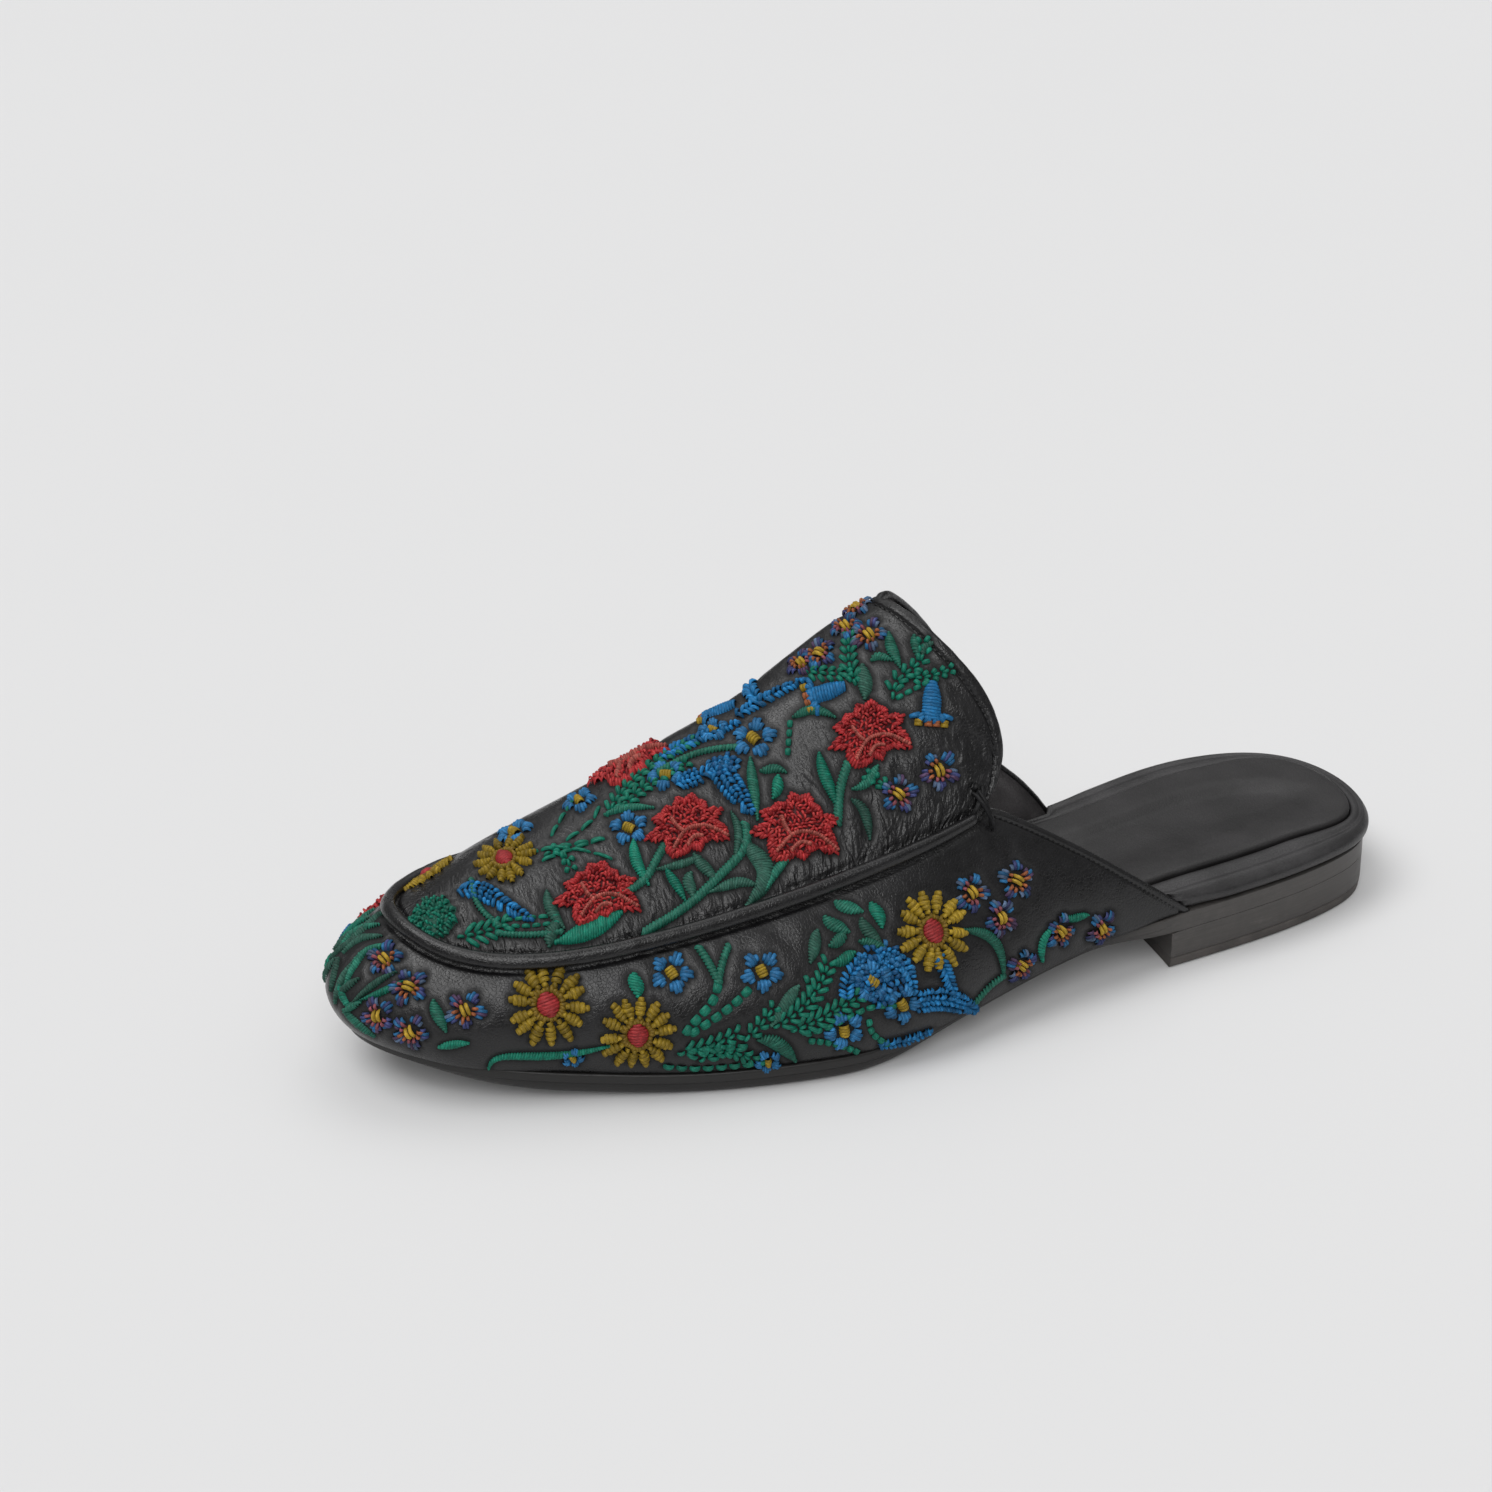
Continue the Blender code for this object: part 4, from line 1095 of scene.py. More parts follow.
def plate(name, rings, steps, bottom, top, finish, sharp=None):
    """A piece between stacked rings, with its two ends closed at the heights bottom and top."""
    points = [point for ring in rings for point in ring]
    index = np.arange(len(points)).reshape(len(rings), -1)
    faces = quads_of(np.hstack([index, index[:, :1]])).tolist()
    cap(points, faces, index[0].tolist(), steps, bottom)
    cap(points, faces, index[-1].tolist(), steps, top)
    piece = mesh_piece(name, np.array(points), faces, finish)
    shape = bmesh.new()
    shape.from_mesh(piece.data)
    bmesh.ops.recalc_face_normals(shape, faces=shape.faces)
    shape.to_mesh(piece.data)
    shape.free()
    if sharp:
        piece.data.set_sharp_from_angle(angle=math.radians(sharp))
    return piece


def above_seat(rise):
    """The level this far above the seat, for a ring at x or a cap at x and a share across."""
    return lambda x, share=0.0: seat_height(x) + rise


def level_at(z):
    """The same level everywhere, for a ring or a cap."""
    return lambda x, share=0.0: z + 0 * x


def footbed_inset(rim, rise):
    """Inset of a footbed ring: it passes inside the upper just past the wall's leaning back edge."""
    depth = min(1.0, max(0.0, (rim + FOOTBED_OVERHANG) / (PAD_INSET + FOOTBED_OVERHANG)))

    def inset(x, start, lean):
        edge = start + lean * rise
        sharp, gentle, tucked = (
            smooth_step(x, edge + near, edge + far) for near, far in (RIM_STEP, PAD_STEP, OVERHANG_END)
        )
        spread = GROOVE_SPREAD * depth * smooth_step(x, *GROOVE_START) * (1 - gentle)
        narrowing = FOOTBED_NARROWING * (sharp * (1 - depth) + gentle * depth)
        return rim - min(rim, 0.0) * tucked + spread + narrowing

    return inset


def build_footbed(finish):
    """The wrapped footbed: a plump rim with a soft crease along it, a groove, and the pad's recess."""
    top = FOOTBED_TOP
    side = softened((
        (1.0, SEAT_GAP + SEAM_RISE - 0.4),
        (-0.35, SEAT_GAP + SEAM_RISE + 0.1),
        (-1.1, SEAT_GAP + SEAM_RISE + 1.0),
        (-FOOTBED_OVERHANG, SEAT_GAP + 3.2),
        (-1.0, top - 1.7),
        (-0.25, top - 0.70),
        (0.35, top - 0.42),
        (0.95, top - 0.66),
        (1.7, top - 0.25),
        (PAD_INSET - 0.8, top - 0.12),
        (PAD_INSET - 0.3, top - 0.42),
        (PAD_INSET - 0.03, top - PAD_RECESS),
    ), 34)
    rings = [sole_ring(footbed_inset(rim, rise), above_seat(rise)) for rim, rise in side]
    recess = above_seat(top - PAD_RECESS)
    return plate("footbed_leather", rings, SIDE_STEPS, above_seat(SEAT_GAP), recess, finish)


def pad_level(x, share):
    """Top of the padded insert: worn into an oval dish at the heel, and sunk at the ball."""
    across = abs(2 * share - 1)
    behind = min(0.0, x - DISH_MIDDLE) / DISH_LENGTH
    oval = math.hypot(behind, max(0.0, 2 * share - DISH_SIDE) / DISH_SIDE)
    dish = DISH * (1 - smooth_step(oval, 0.74, 1.0)) * smooth_step(share, 0.0, 0.45)
    ball = smooth_bump(math.hypot((x - BALL_MIDDLE) / BALL_LENGTH, across * 1.1), 1.0)
    return seat_height(x) + FOOTBED_TOP + PAD_EDGE - dish - BALL_DISH * ball


def build_pad(finish):
    """The padded sock: its edge rolls down into the groove, and its middle is worn into a dish."""
    floor = FOOTBED_THICKNESS - PAD_RECESS + 2 * SEAT_GAP
    top = FOOTBED_TOP
    side = softened((
        (0.2, floor),
        (0.06, top - 0.5),
        (0.12, top + 0.1),
        (0.5, top + PAD_EDGE * 0.62),
        (1.4, top + PAD_EDGE * 0.92),
        (3.0, top + PAD_EDGE),
        (4.8, top + PAD_EDGE),
    ), 22)
    rings = [sole_ring(footbed_inset(PAD_INSET + inset, rise), above_seat(rise)) for inset, rise in side]
    return plate("sock_pad_leather", rings, SIDE_STEPS, above_seat(floor), pad_level, finish)


def waist(x):
    """How far x is inside the sole's waist, between the heel's breast and the ball: 0 to 1."""
    return smooth_step(x, *WAIST_START) * (1 - smooth_step(x, *WAIST_END))


def build_outsole(finish):
    """Leather outsole: a burnished upright band over an edge cut under at the waist."""
    def past_heel(x):
        return smooth_step(x, *PAST_HEEL)

    def undercut(x):
        toe = (TOE_UNDERCUT + TOE_TUCK) * smooth_step(x, TOE_START, SOLE_LENGTH)
        slope = (EDGE_STEP + 1.2) * past_heel(x) + (WAIST_TUCK + 1.6) * waist(x) + toe
        return HEEL_INSET - WELT_REACH + slope

    def band_inset(x, rim):
        """The upright band: flush with the heel behind, and under the upper at the waist and the toe."""
        hidden = WAIST_TUCK * waist(x) + TOE_TUCK * smooth_step(x, TOE_START, SOLE_LENGTH - 8)
        return rim * past_heel(x) + HEEL_INSET * (1 - past_heel(x)) - WELT_REACH + hidden

    def between(share, drop=0.0):
        """A ring on the slope from the band's foot (0) to the bottom (1), a little full in its middle."""
        def inset(x, *wall):
            full = (0.5 * math.sin(math.pi * share) - drop) * past_heel(x)
            return band_inset(x, EDGE_STEP) * (1 - share) + undercut(x) * share - full

        def height(x):
            return (seat_height(x) - EDGE_BAND) * (1 - share) + sole_bottom(x) * share

        return sole_ring(inset, height)

    rings = [sole_ring(lambda x, *wall: undercut(x) + 0.05 + 1.3 * past_heel(x), sole_bottom)]
    rings += [between(0.97, 0.3), between(0.88), between(0.6), between(0.3), between(0.0)]
    band = (
        (0.05, 0.12 - EDGE_BAND),
        (0.0, 0.3 - EDGE_BAND),
        (-0.08, 0.9 - EDGE_BAND),
        (-0.08, 1.6 - EDGE_BAND),
        (0.0, 2.0 - EDGE_BAND),
        (0.16, 0.0),
        (0.9, 0.05),
    )
    for rim, rise in band:
        rings.append(sole_ring(lambda x, *wall, rim=rim: band_inset(x, rim), above_seat(rise)))
    return plate("outsole_leather", rings, SIDE_STEPS, sole_bottom, above_seat(0.0), finish)


def build_heel(block_finish, lift_finish):
    """The stacked heel block under the outsole, and the wearing lift under it."""
    edge = HEEL_INSET - WELT_REACH
    bottom = level_at(TOP_LIFT_HEIGHT + 0.05)

    def top(x, share=0.0):
        return sole_bottom(x) - SEAT_GAP * 0.2

    side = ((0.25, 0.0), (0.02, 0.03), (0.0, 0.2), (0.0, 0.5), (0.0, 0.8), (0.0, 0.97), (0.0, 1.0))
    rings = [
        heel_ring(edge + inset, lambda x, up=up: bottom(x) * (1 - up) + top(x) * up) for inset, up in side
    ]
    block = plate("heel_block_leather", rings, HEEL_STEPS, bottom, top, block_finish, SHARP)
    side = ((0.75, 0.0), (0.4, 0.25), (0.3, 0.7), (0.12, 1.9), (0.1, 2.35), (0.3, TOP_LIFT_HEIGHT))
    rings = [heel_ring(edge + inset, level_at(height)) for inset, height in side]
    floor, top = level_at(0.0), level_at(TOP_LIFT_HEIGHT)
    return block, plate("top_lift_rubber", rings, HEEL_STEPS, floor, top, lift_finish, SHARP)


def scaled(values, by):
    return tuple(value * by for value in values)


class Nodes:
    """Builds one material's node tree: each call adds a node, sets its sockets and returns it."""

    def __init__(self, name):
        self.material = bpy.data.materials.new(name)
        self.material.use_nodes = True
        self.tree = self.material.node_tree
        self.shader = self.tree.nodes["Principled BSDF"]

    def add(self, kind, settings=(), **sockets):
        node = self.tree.nodes.new("ShaderNode" + kind)
        for key, value in dict(settings).items():
            setattr(node, key, value)
        for key, value in sockets.items():
            self.put(node, key, value)
        return node

    def put(self, node, key, value):
        """Sets or links one socket, named with _ for a space or, like _6, by its number."""
        socket = node.inputs[int(key[1:])] if key[1:].isdigit() else node.inputs[key.replace("_", " ")]
        if isinstance(value, bpy.types.NodeSocket):
            self.tree.links.new(value, socket)
        elif isinstance(value, tuple) and len(value) == 3 and socket.type == "RGBA":
            socket.default_value = (*value, 1.0)
        else:
            socket.default_value = value

    def finish(self, **sockets):
        for key, value in sockets.items():
            self.put(self.shader, key, value)
        return self.material

    def map(self):
        """The piece's own flat map, in mm."""
        return self.add("UVMap", {"uv_map": "flat"}).outputs["UV"]

    def place(self, stretch=(1.0, 1.0, 1.0), flat=False):
        """Coordinates in mm: of the space round the shoe or, if flat, of the piece's own map."""
        source = self.map() if flat else self.add("TexCoord").outputs["Object"]
        scale = stretch if flat else scaled(stretch, 1 / MM)
        return self.add("Mapping", Vector=source, Scale=scale).outputs["Vector"]

    def noise(self, size, detail=4.0, roughness=0.55, stretch=(1.0, 1.0, 1.0), flat=False, twist=0.0):
        """Noise whose features are about size mm across."""
        vector = self.place(stretch, flat)
        return self.add(
            "TexNoise", Vector=vector, Scale=1.0 / size, Detail=detail, Roughness=roughness, Distortion=twist
        ).outputs["Fac"]

    def cells(self, size):
        """Distance to the edges of cells about size mm across."""
        edges = {"feature": "DISTANCE_TO_EDGE"}
        return self.add("TexVoronoi", edges, Vector=self.place(), Scale=1.0 / size).outputs["Distance"]

    def math(self, operation, a, b):
        return self.add("Math", {"operation": operation}, _0=a, _1=b).outputs["Value"]

    def span(self, value, low, high, to_low=0.0, to_high=1.0):
        """The value's place between low and high, as one between to_low and to_high."""
        return self.add(
            "MapRange", Value=value, From_Min=low, From_Max=high, To_Min=to_low, To_Max=to_high
        ).outputs["Result"]

    def mix(self, share, first, second):
        return self.add("Mix", {"data_type": "RGBA"}, _0=share, _6=first, _7=second).outputs[2]

    def bump(self, height, distance, strength=1.0, under=None):
        """A bump whose full height is distance mm, on top of the bump under."""
        node = self.add("Bump", Height=height, Distance=distance * MM, Strength=strength)
        if under is not None:
            self.put(node, "Normal", under)
        return node.outputs["Normal"]


def leather(name, colour, gloss, grain=1.0, wrinkled=False, dusty=0.0):
    """Soft dyed leather: fine pebble grain, faint creasing, uneven gloss, and painted shade beside the
    stitches.
    """
    n = Nodes(name)
    broad = n.noise(14.0, 3.0)
    fine = n.noise(0.55, 3.0, 0.6)
    pebble = n.cells(0.85)
    cloudy = n.noise(3.5, 4.0, 0.6)
    pebble_height = n.span(pebble, 0.0, 0.16)
    normal = n.bump(pebble_height, 0.03 * grain)
    normal = n.bump(n.span(fine, 0.3, 0.7), 0.015 * grain, 1.0, normal)
    normal = n.bump(n.span(cloudy, 0.3, 0.7), 0.06 * grain, 1.0, normal)
    if wrinkled:
        lines = n.noise(1.15, 1.0, 0.4, (1.0, 0.40, 1.0), flat=True, twist=1.1)
        folds = n.noise(2.6, 1.0, 0.4, (1.0, 0.45, 1.0), flat=True, twist=1.0)
        from_seam = n.add("SeparateXYZ", Vector=n.map()).outputs["Y"]
        on_apron = n.span(from_seam, 26.0, 4.0, 0.30, 1.0)
        on_wall = n.span(from_seam, -3.0, 2.0, 0.06, 1.0)
        near = n.math("MULTIPLY", on_apron, on_wall)
        ridges = n.math("MULTIPLY", n.span(lines, 0.32, 0.68), near)
        normal = n.bump(ridges, 0.11, 1.0, normal)
        normal = n.bump(n.math("MULTIPLY", n.span(folds, 0.32, 0.68), near), 0.26, 1.0, normal)
    tone = n.mix(n.span(broad, 0.35, 0.65), scaled(colour, 0.62), scaled(colour, 1.35))
    tone = n.mix(n.span(pebble, 0.0, 0.1, 0.35, 0.0), tone, scaled(colour, 0.3))
    rough = n.span(cloudy, 0.3, 0.7, gloss - 0.06, gloss + 0.08)
    if wrinkled:
        # Painted shade round the stitches: the colour is darkened where the thread's shadow falls, and the
        # gloss dulled there
        stitch_shade = n.add("Attribute", {"attribute_name": "stitch_shade"}).outputs["Fac"]
        tone = n.mix(n.math("MULTIPLY", stitch_shade, 0.9), tone, scaled(colour, 0.12))
        rough = n.math("ADD", rough, n.math("MULTIPLY", stitch_shade, 0.55))
    if dusty:
        specks = n.span(n.noise(0.9, 2.0), 0.66, 0.78)
        tone = n.mix(n.math("MULTIPLY", specks, dusty), tone, DUST)
    return n.finish(Base_Color=tone, Roughness=rough, Normal=normal, Specular_IOR_Level=0.45)


def edge_leather(name, low, high, gloss, layers, forward=1.0):
    """Stacked edge leather: fine level layers, mottled dye and scuffs, burnished darker past the heel."""
    n = Nodes(name)
    stripes = n.noise(0.9, 3.0, 0.6, (0.06, 0.06, 1.0 / layers))
    mottle = n.noise(4.0, 5.0, 0.65)
    fibre = n.noise(0.35, 2.0, 0.6, (0.35, 0.35, 1.0))
    scuff = n.span(n.noise(2.2, 6.0, 0.7, (0.3, 0.3, 1.0)), 0.6, 0.75)
    tone = n.mix(n.span(mottle, 0.3, 0.7), low, high)
    tone = n.mix(n.span(stripes, 0.45, 0.62, 0.0, 0.22), tone, scaled(low, 0.5))
    tone = n.mix(n.math("MULTIPLY", scuff, 0.35), tone, scaled(high, 2.2))
    ahead = n.add("SeparateXYZ", Vector=n.place()).outputs["X"]
    start, end = (BREAST - HEEL_MIDDLE + past for past in BURNISH)
    tone = n.mix(n.span(ahead, start, end, 0.0, 1.0 - forward), tone, SHADOW)
    rough = n.span(mottle, 0.3, 0.7, gloss - 0.06, gloss + 0.1)
    normal = n.bump(stripes, 0.03, 0.8)
    normal = n.bump(fibre, 0.03, 0.6, normal)
    return n.finish(Base_Color=tone, Roughness=rough, Normal=normal)


def rubber(name, colour):
    """Moulded wearing rubber: matt, finely pitted and a little dusty."""
    n = Nodes(name)
    pits = n.noise(0.5, 4.0, 0.7)
    dust = n.noise(6.0, 5.0, 0.6)
    tone = n.mix(n.span(dust, 0.35, 0.75), colour, scaled(colour, 2.0))
    normal = n.bump(pits, 0.06, 0.7)
    return n.finish(Base_Color=tone, Roughness=n.span(dust, 0.3, 0.7, 0.62, 0.82), Normal=normal)


def thread(name):
    """Embroidery cotton: its colour from the stitch, streaked and ribbed along the strands."""
    n = Nodes(name)
    dye = n.add("Attribute", {"attribute_name": "thread"}).outputs["Color"]
    strands = n.noise(0.26, 2.0, 0.6, (0.22, 1.0, 1.0), flat=True)
    blotch = n.noise(1.6, 3.0, 0.6)
    tone = n.mix(n.span(strands, 0.35, 0.65, 0.5, 0.0), dye, SHADOW)
    tone = n.mix(n.span(blotch, 0.40, 0.70, 0.25, 0.0), tone, SHADOW)
    normal = n.bump(n.span(strands, 0.3, 0.7), 0.06, 1.0)
    return n.finish(
        Base_Color=tone, Roughness=n.span(strands, 0.3, 0.7, 0.62, 0.42), Normal=normal,
        Specular_IOR_Level=0.22,
    )


def floor_finish():
    n = Nodes("pale floor")
    return n.finish(
        Base_Color=n.mix(n.noise(180.0, 2.0), *FLOOR_TONES), Roughness=0.9, Specular_IOR_Level=0.1,
        Emission_Color=WHITE, Emission_Strength=FLOOR_GLOW,
    )


class Cloth:
    """The upper as an embroiderer sees it: places (u, w) on it, and stitches lying on it."""

    def __init__(self, grid, normals):
        self.grid = grid
        self.normals = normals
        self.corner_normals = normals.reshape(-1, 3)
        self.quads = lattice_faces(*grid.shape[:2])
        self.tree = BVHTree.FromPolygons(grid.reshape(-1, 3).tolist(), self.quads.tolist())
        self.sewn = {}
        self.mounds = []

    def at(self, u, w):
        """Point and normal at (u, w)."""
        return read_lattice(self.grid, u, w), unit(read_lattice(self.normals, u, w))

    def settle(self, point, normal):
        """The point of the leather above or below this one, with the leather's normal there."""
        found = self.tree.ray_cast(Vector(point + normal * SEARCH), Vector(-normal), 2 * SEARCH)
        if found[0] is None:
            return point, normal
        return np.array(found[0]), unit(self.corner_normals[self.quads[found[2]]].mean(axis=0))

    def line(self, stops, step):
        """Evenly spaced points and normals, about step mm apart, on a smooth line through (u, w) stops."""
        dense = np.linspace(0.0, len(stops) - 1.0, 24 * len(stops))
        places = spline(np.arange(len(stops)), stops, dense)
        points, normals = self.at(places[:, 0], places[:, 1])
        length = lengths_along(points)[-1]
        at = np.linspace(0.0, length, max(2, int(round(length / step)) + 1))
        return resampled(points, at), unit(resampled(points, at, normals))

    def along(self, stops, step):
        """The same line as (point, normal, direction ahead, direction to its side) for each point."""
        line, normals = self.line(stops, step)
        for k, (point, normal) in enumerate(zip(line, normals)):
            ahead = unit(line[min(k + 1, len(line) - 1)] - line[max(k - 1, 0)])
            yield point, normal, ahead, np.cross(normal, ahead)

    def sew(self, kind, start, end, normal, width, thick, lift, colour):
        """One stitch of this kind of thread: its ends, normal, width, thickness and lift (mm), and colour."""
        shade = np.clip(np.array(colour) * (1 + 0.10 * CHANCE.standard_normal()), 0.0, 1.0)
        row = np.concatenate([start, end, normal, (width, thick, lift), shade])
        self.sewn.setdefault(kind, []).append(row)

    def lay(self, kind, start, end, normal, *stitch):
        """The same stitch with its ends settled on the leather first."""
        start, before = self.settle(start, normal)
        end, after = self.settle(end, normal)
        self.sew(kind, start, end, unit(before + after), *stitch)

    def places_sewn(self):
        """Where the thread goes through or lies on the leather."""
        rows = np.vstack([np.array(rows) for rows in self.sewn.values()])
        shares = (0.0, 0.5, 1.0)
        return np.vstack([rows[:, :3] * (1 - share) + rows[:, 3:6] * share for share in shares]).tolist()


def ray(angle):
    return np.array((math.cos(angle), math.sin(angle)))


def petals(count, stray):
    """Each petal's angle, outward and sideways directions, round a circle and a little astray."""
    for k in range(count):
        angle = 2 * math.pi * (k + stray * CHANCE.uniform(-1, 1)) / count
        out = ray(angle)
        yield angle, out, np.array((-out[1], out[0]))


class Patch:
    """A flat drawing place laid on the leather at (u, w), its x turned by so many degrees from the toe."""

    def __init__(self, cloth, u, w, turn):
        self.cloth = cloth
        self.middle, self.normal = cloth.at(u, w)
        toe = np.array((1.0, 0.0, 0.0))
        ahead = unit(toe - self.normal * (toe @ self.normal))
        left = np.cross(self.normal, ahead)
        angle = math.radians(turn)
        self.x = ahead * math.cos(angle) + left * math.sin(angle)
        self.y = np.cross(self.normal, self.x)

    def place(self, x, y):
        return self.middle + self.x * x + self.y * y

    def bar(self, kind, a, b, *stitch):
        """The same stitch between two places of the patch, given as (x, y) in mm."""
        self.cloth.lay(kind, self.place(*a), self.place(*b), self.normal, *stitch)

    def mound(self, outline, height, colour):
        """A low padded underlay: outline gives its radius (mm) at each of its evenly spread angles."""
        points = []
        count = len(outline)
        rings = (0.03, 0.35, 0.65, 0.88, 1.0)
        for share in rings:
            for k, radius in enumerate(outline):
                angle = 2 * math.pi * k / count
                x, y = radius * share * math.cos(angle), radius * share * math.sin(angle)
                spot, normal = self.cloth.settle(self.place(x, y), self.normal)
                points.append(spot + normal * (height * (1 - share ** 4) - PADDING_SINK))
        faces = []
        for near in range(0, count * (len(rings) - 1), count):
            far = near + count
            for k in range(count):
                after = (k + 1) % count
                faces.append([near + k, far + k, far + after, near + after])
        self.cloth.mounds.append((np.array(points), faces, colour))


def leaf(cloth, width, stops):
    """A satin leaf along a line: slanting bars, widest a little past its middle."""
    colour = np.array(LEAF_SHADES[CHANCE.integers(len(LEAF_SHADES))]) * CHANCE.uniform(0.75, 1.3)
    if width > BROAD_LEAF:
        colour = np.array(GREEN) * 1.15
    pitch = 0.62
    line = list(cloth.along(stops, pitch))
    for k, (point, normal, ahead, side) in enumerate(line):
        share = (k + 0.5) / len(line)
        half = width / 2 * max(0.16, math.sin(math.pi * share ** 0.85)) ** 0.75
        slant = ahead * half * 0.45
        rise = 0.6 * (0.45 + 0.55 * half / (width / 2)) * CHANCE.uniform(0.85, 1.15)
        start, end = point - side * half - slant, point + side * half + slant
        cloth.lay("greens", start, end, normal, pitch * 1.3, 0.36, rise, colour)


def cord(cloth, width, stops):
    """A satin-sewn stem: short slanting bars close together."""
    pitch = 0.85
    for point, normal, ahead, side in cloth.along(stops, pitch):
        reach = side * width * 0.5 + ahead * width * 0.45
        cloth.sew("greens", point - reach, point + reach, normal, pitch * 1.35, 0.36, 0.55, GREEN_SOFT)


def dashes(cloth, width, dash, stops, gap=0.35):
    """A stem of separate long stitches."""
    line, normals = cloth.line(stops, dash + gap)
    for a, b, before, after in zip(line, line[1:], normals, normals[1:]):
        ahead = b - a
        start = a + ahead * gap / (dash + gap) / 2
        end = b - ahead * gap / (dash + gap) / 2
        cloth.sew("greens", start, end, unit(before + after), width, 0.55, 0.35, GREEN)


def spike(cloth, width, stops):
    """A flower spike: rows of short fat stitches in an uneven herringbone, widest near its foot."""
    pitch = 1.15
    line = list(cloth.along(stops, pitch))
    for k, (point, normal, ahead, side) in enumerate(line):
        share = k / max(1, len(line) - 1)
        half = width / 2 * (0.42 + 0.58 * math.sin(math.pi * min(1.0, 0.32 + 0.68 * share)) ** 0.8)
        rows = 2 if half > 2.3 else 1
        for hand in (-1, 1):
            for row in range(rows):
                stray = CHANCE.uniform(-0.35, 0.35, 2)
                inner = side * hand * half * row / rows
                outer = side * hand * half * (row + 0.9) / rows
                start = point + inner + ahead * stray[0]
                end = point + outer + ahead * (half / rows * CHANCE.uniform(0.5, 1.0) + stray[1])
                tint = np.array(BLUE) * CHANCE.uniform(0.55, 1.6)
                cloth.lay("blues", start, end, normal, pitch * 0.78, 0.55, CHANCE.uniform(0.35, 0.95), tint)
    point, normal, ahead, side = line[-1]
    cloth.sew("blues", point, point + ahead * 1.6, normal, 1.1, 0.55, 0.4, BLUE)


def sprig(cloth, width, stops):
    """A stem of short dashes with paired leaflets like an ear of wheat."""
    pitch = 2.3
    dashes(cloth, 0.85, pitch * 0.8, stops, pitch * 0.2)
    line = list(cloth.along(stops, pitch))
    for k, (point, normal, ahead, side) in enumerate(line[1:], 1):
        reach = width / 2 * (1.0 - 0.35 * (k / len(line)))
        for hand in (-1, 1):
            start = point + side * hand * 0.45
            end = point + side * hand * reach + ahead * reach * 0.9
            cloth.lay("greens", start, end, normal, 1.15, 0.5, 0.5, GREEN)


def daisy(patch, radius, painted_shading):
    """Padded petals of five bars each, a loose inner ring and a domed red centre."""
    count = 14
    for angle, out, side in petals(count, 0.16):
        reach = radius * CHANCE.uniform(0.92, 1.04)
        lean = CHANCE.uniform(-0.5, 0.5)
        # Painted light and shade: the whole daisy's yellow is lightened or darkened, with a little random
        # spread per petal
        glow = painted_shading * CHANCE.uniform(0.72, 1.12)
        for step in range(5):
            share = (step + 0.5) / 5
            middle = out * (radius * 0.42 + (reach - radius * 0.42) * share)
            half = side * radius * 0.150 * (1 - 0.95 * abs(share - 0.52) ** 2.2 / 0.55 ** 2.2)
            half = half * CHANCE.uniform(0.9, 1.12) + out * lean * radius * 0.06
            tint = np.array(YELLOW) * glow * CHANCE.uniform(0.8, 1.15)
            lift = radius * 0.095 * CHANCE.uniform(0.85, 1.15)
            patch.bar("daisies", middle - half, middle + half, radius * 0.138, 0.5, lift, tint)
        for shift in (-0.25, 0.25):
            spoke = ray(angle + shift * 2 * math.pi / count) * radius
            tip = spoke * CHANCE.uniform(0.40, 0.52)
            patch.bar("daisies", spoke * 0.26, tip, 1.0, 0.45, 0.5, YELLOW_DEEP)
    for y in np.linspace(-0.86, 0.86, 8):
        half = math.sqrt(1 - y * y) * radius * 0.30
        dome = 1.15 * math.sqrt(1 - 0.75 * y * y)
        patch.bar("reds", (-half, y * radius * 0.30), (half, y * radius * 0.30), 0.95, 0.4, dome, RED_CENTRE)


def flower(patch, radius):
    """Five plump satin petals round a small yellow heart."""
    for _, out, side in petals(5, 0.08):
        tint = np.array(BLUE_SOFT) * CHANCE.uniform(0.8, 1.15)
        for offset in (-1.0, -0.35, 0.35, 1.0):
            across = side * offset * radius * 0.27
            near = out * radius * (0.32 + 0.08 * abs(offset)) + across * 0.62
            far = out * radius * (CHANCE.uniform(0.94, 1.04) - 0.24 * offset * offset) + across
            shine = CHANCE.uniform(0.75, 1.3)
            patch.bar("blues", near, far, radius * 0.2, 0.5, 0.85 - 0.35 * abs(offset), tint * shine)
    for y in (-0.75, -0.25, 0.25, 0.75):
        half = 0.26 * radius * math.sqrt(1 - 0.35 * y * y)
        across = y * 0.26 * radius
        patch.bar("daisies", (-half, across), (half, across), 0.85, 0.5, 0.85, YELLOW)


def pansy(patch, radius):
    """Five two-tone petals, blue outside and rose inside, round a yellow oval."""
    for k, (_, out, side) in enumerate(petals(5, 0.1)):
        reach = CHANCE.uniform(0.86, 1.06)
        for offset in (-0.95, -0.32, 0.32, 0.95):
            shade = PANSY_SHADES[CHANCE.integers(len(PANSY_SHADES))]
            tint = np.array(shade) * CHANCE.uniform(0.45, 1.0)
            across = side * offset * radius * 0.25
            near = out * radius * 0.42 + across * 0.75
            far = out * radius * (reach - 0.22 * offset * offset) + across
            patch.bar("blues", near, far, radius * 0.17, 0.45, 0.8 - 0.3 * abs(offset), tint)
        if k != 3:
            rose = ROSE if CHANCE.uniform() < 0.55 else ORANGE
            for shift in (-0.09, 0.09):
                foot = out * radius * 0.26 + side * radius * shift
                tip = out * radius * CHANCE.uniform(0.48, 0.68) + side * radius * shift * 1.6
                patch.bar("reds", foot, tip, radius * 0.15, 0.5, 0.95, rose)
    for x in (-0.5 * 0.22 * radius, 0.5 * 0.22 * radius):
        half = 0.32 * radius
        patch.bar("daisies", (x, -half), (x, half), 0.95, 0.6, 1.15, YELLOW_BRIGHT)


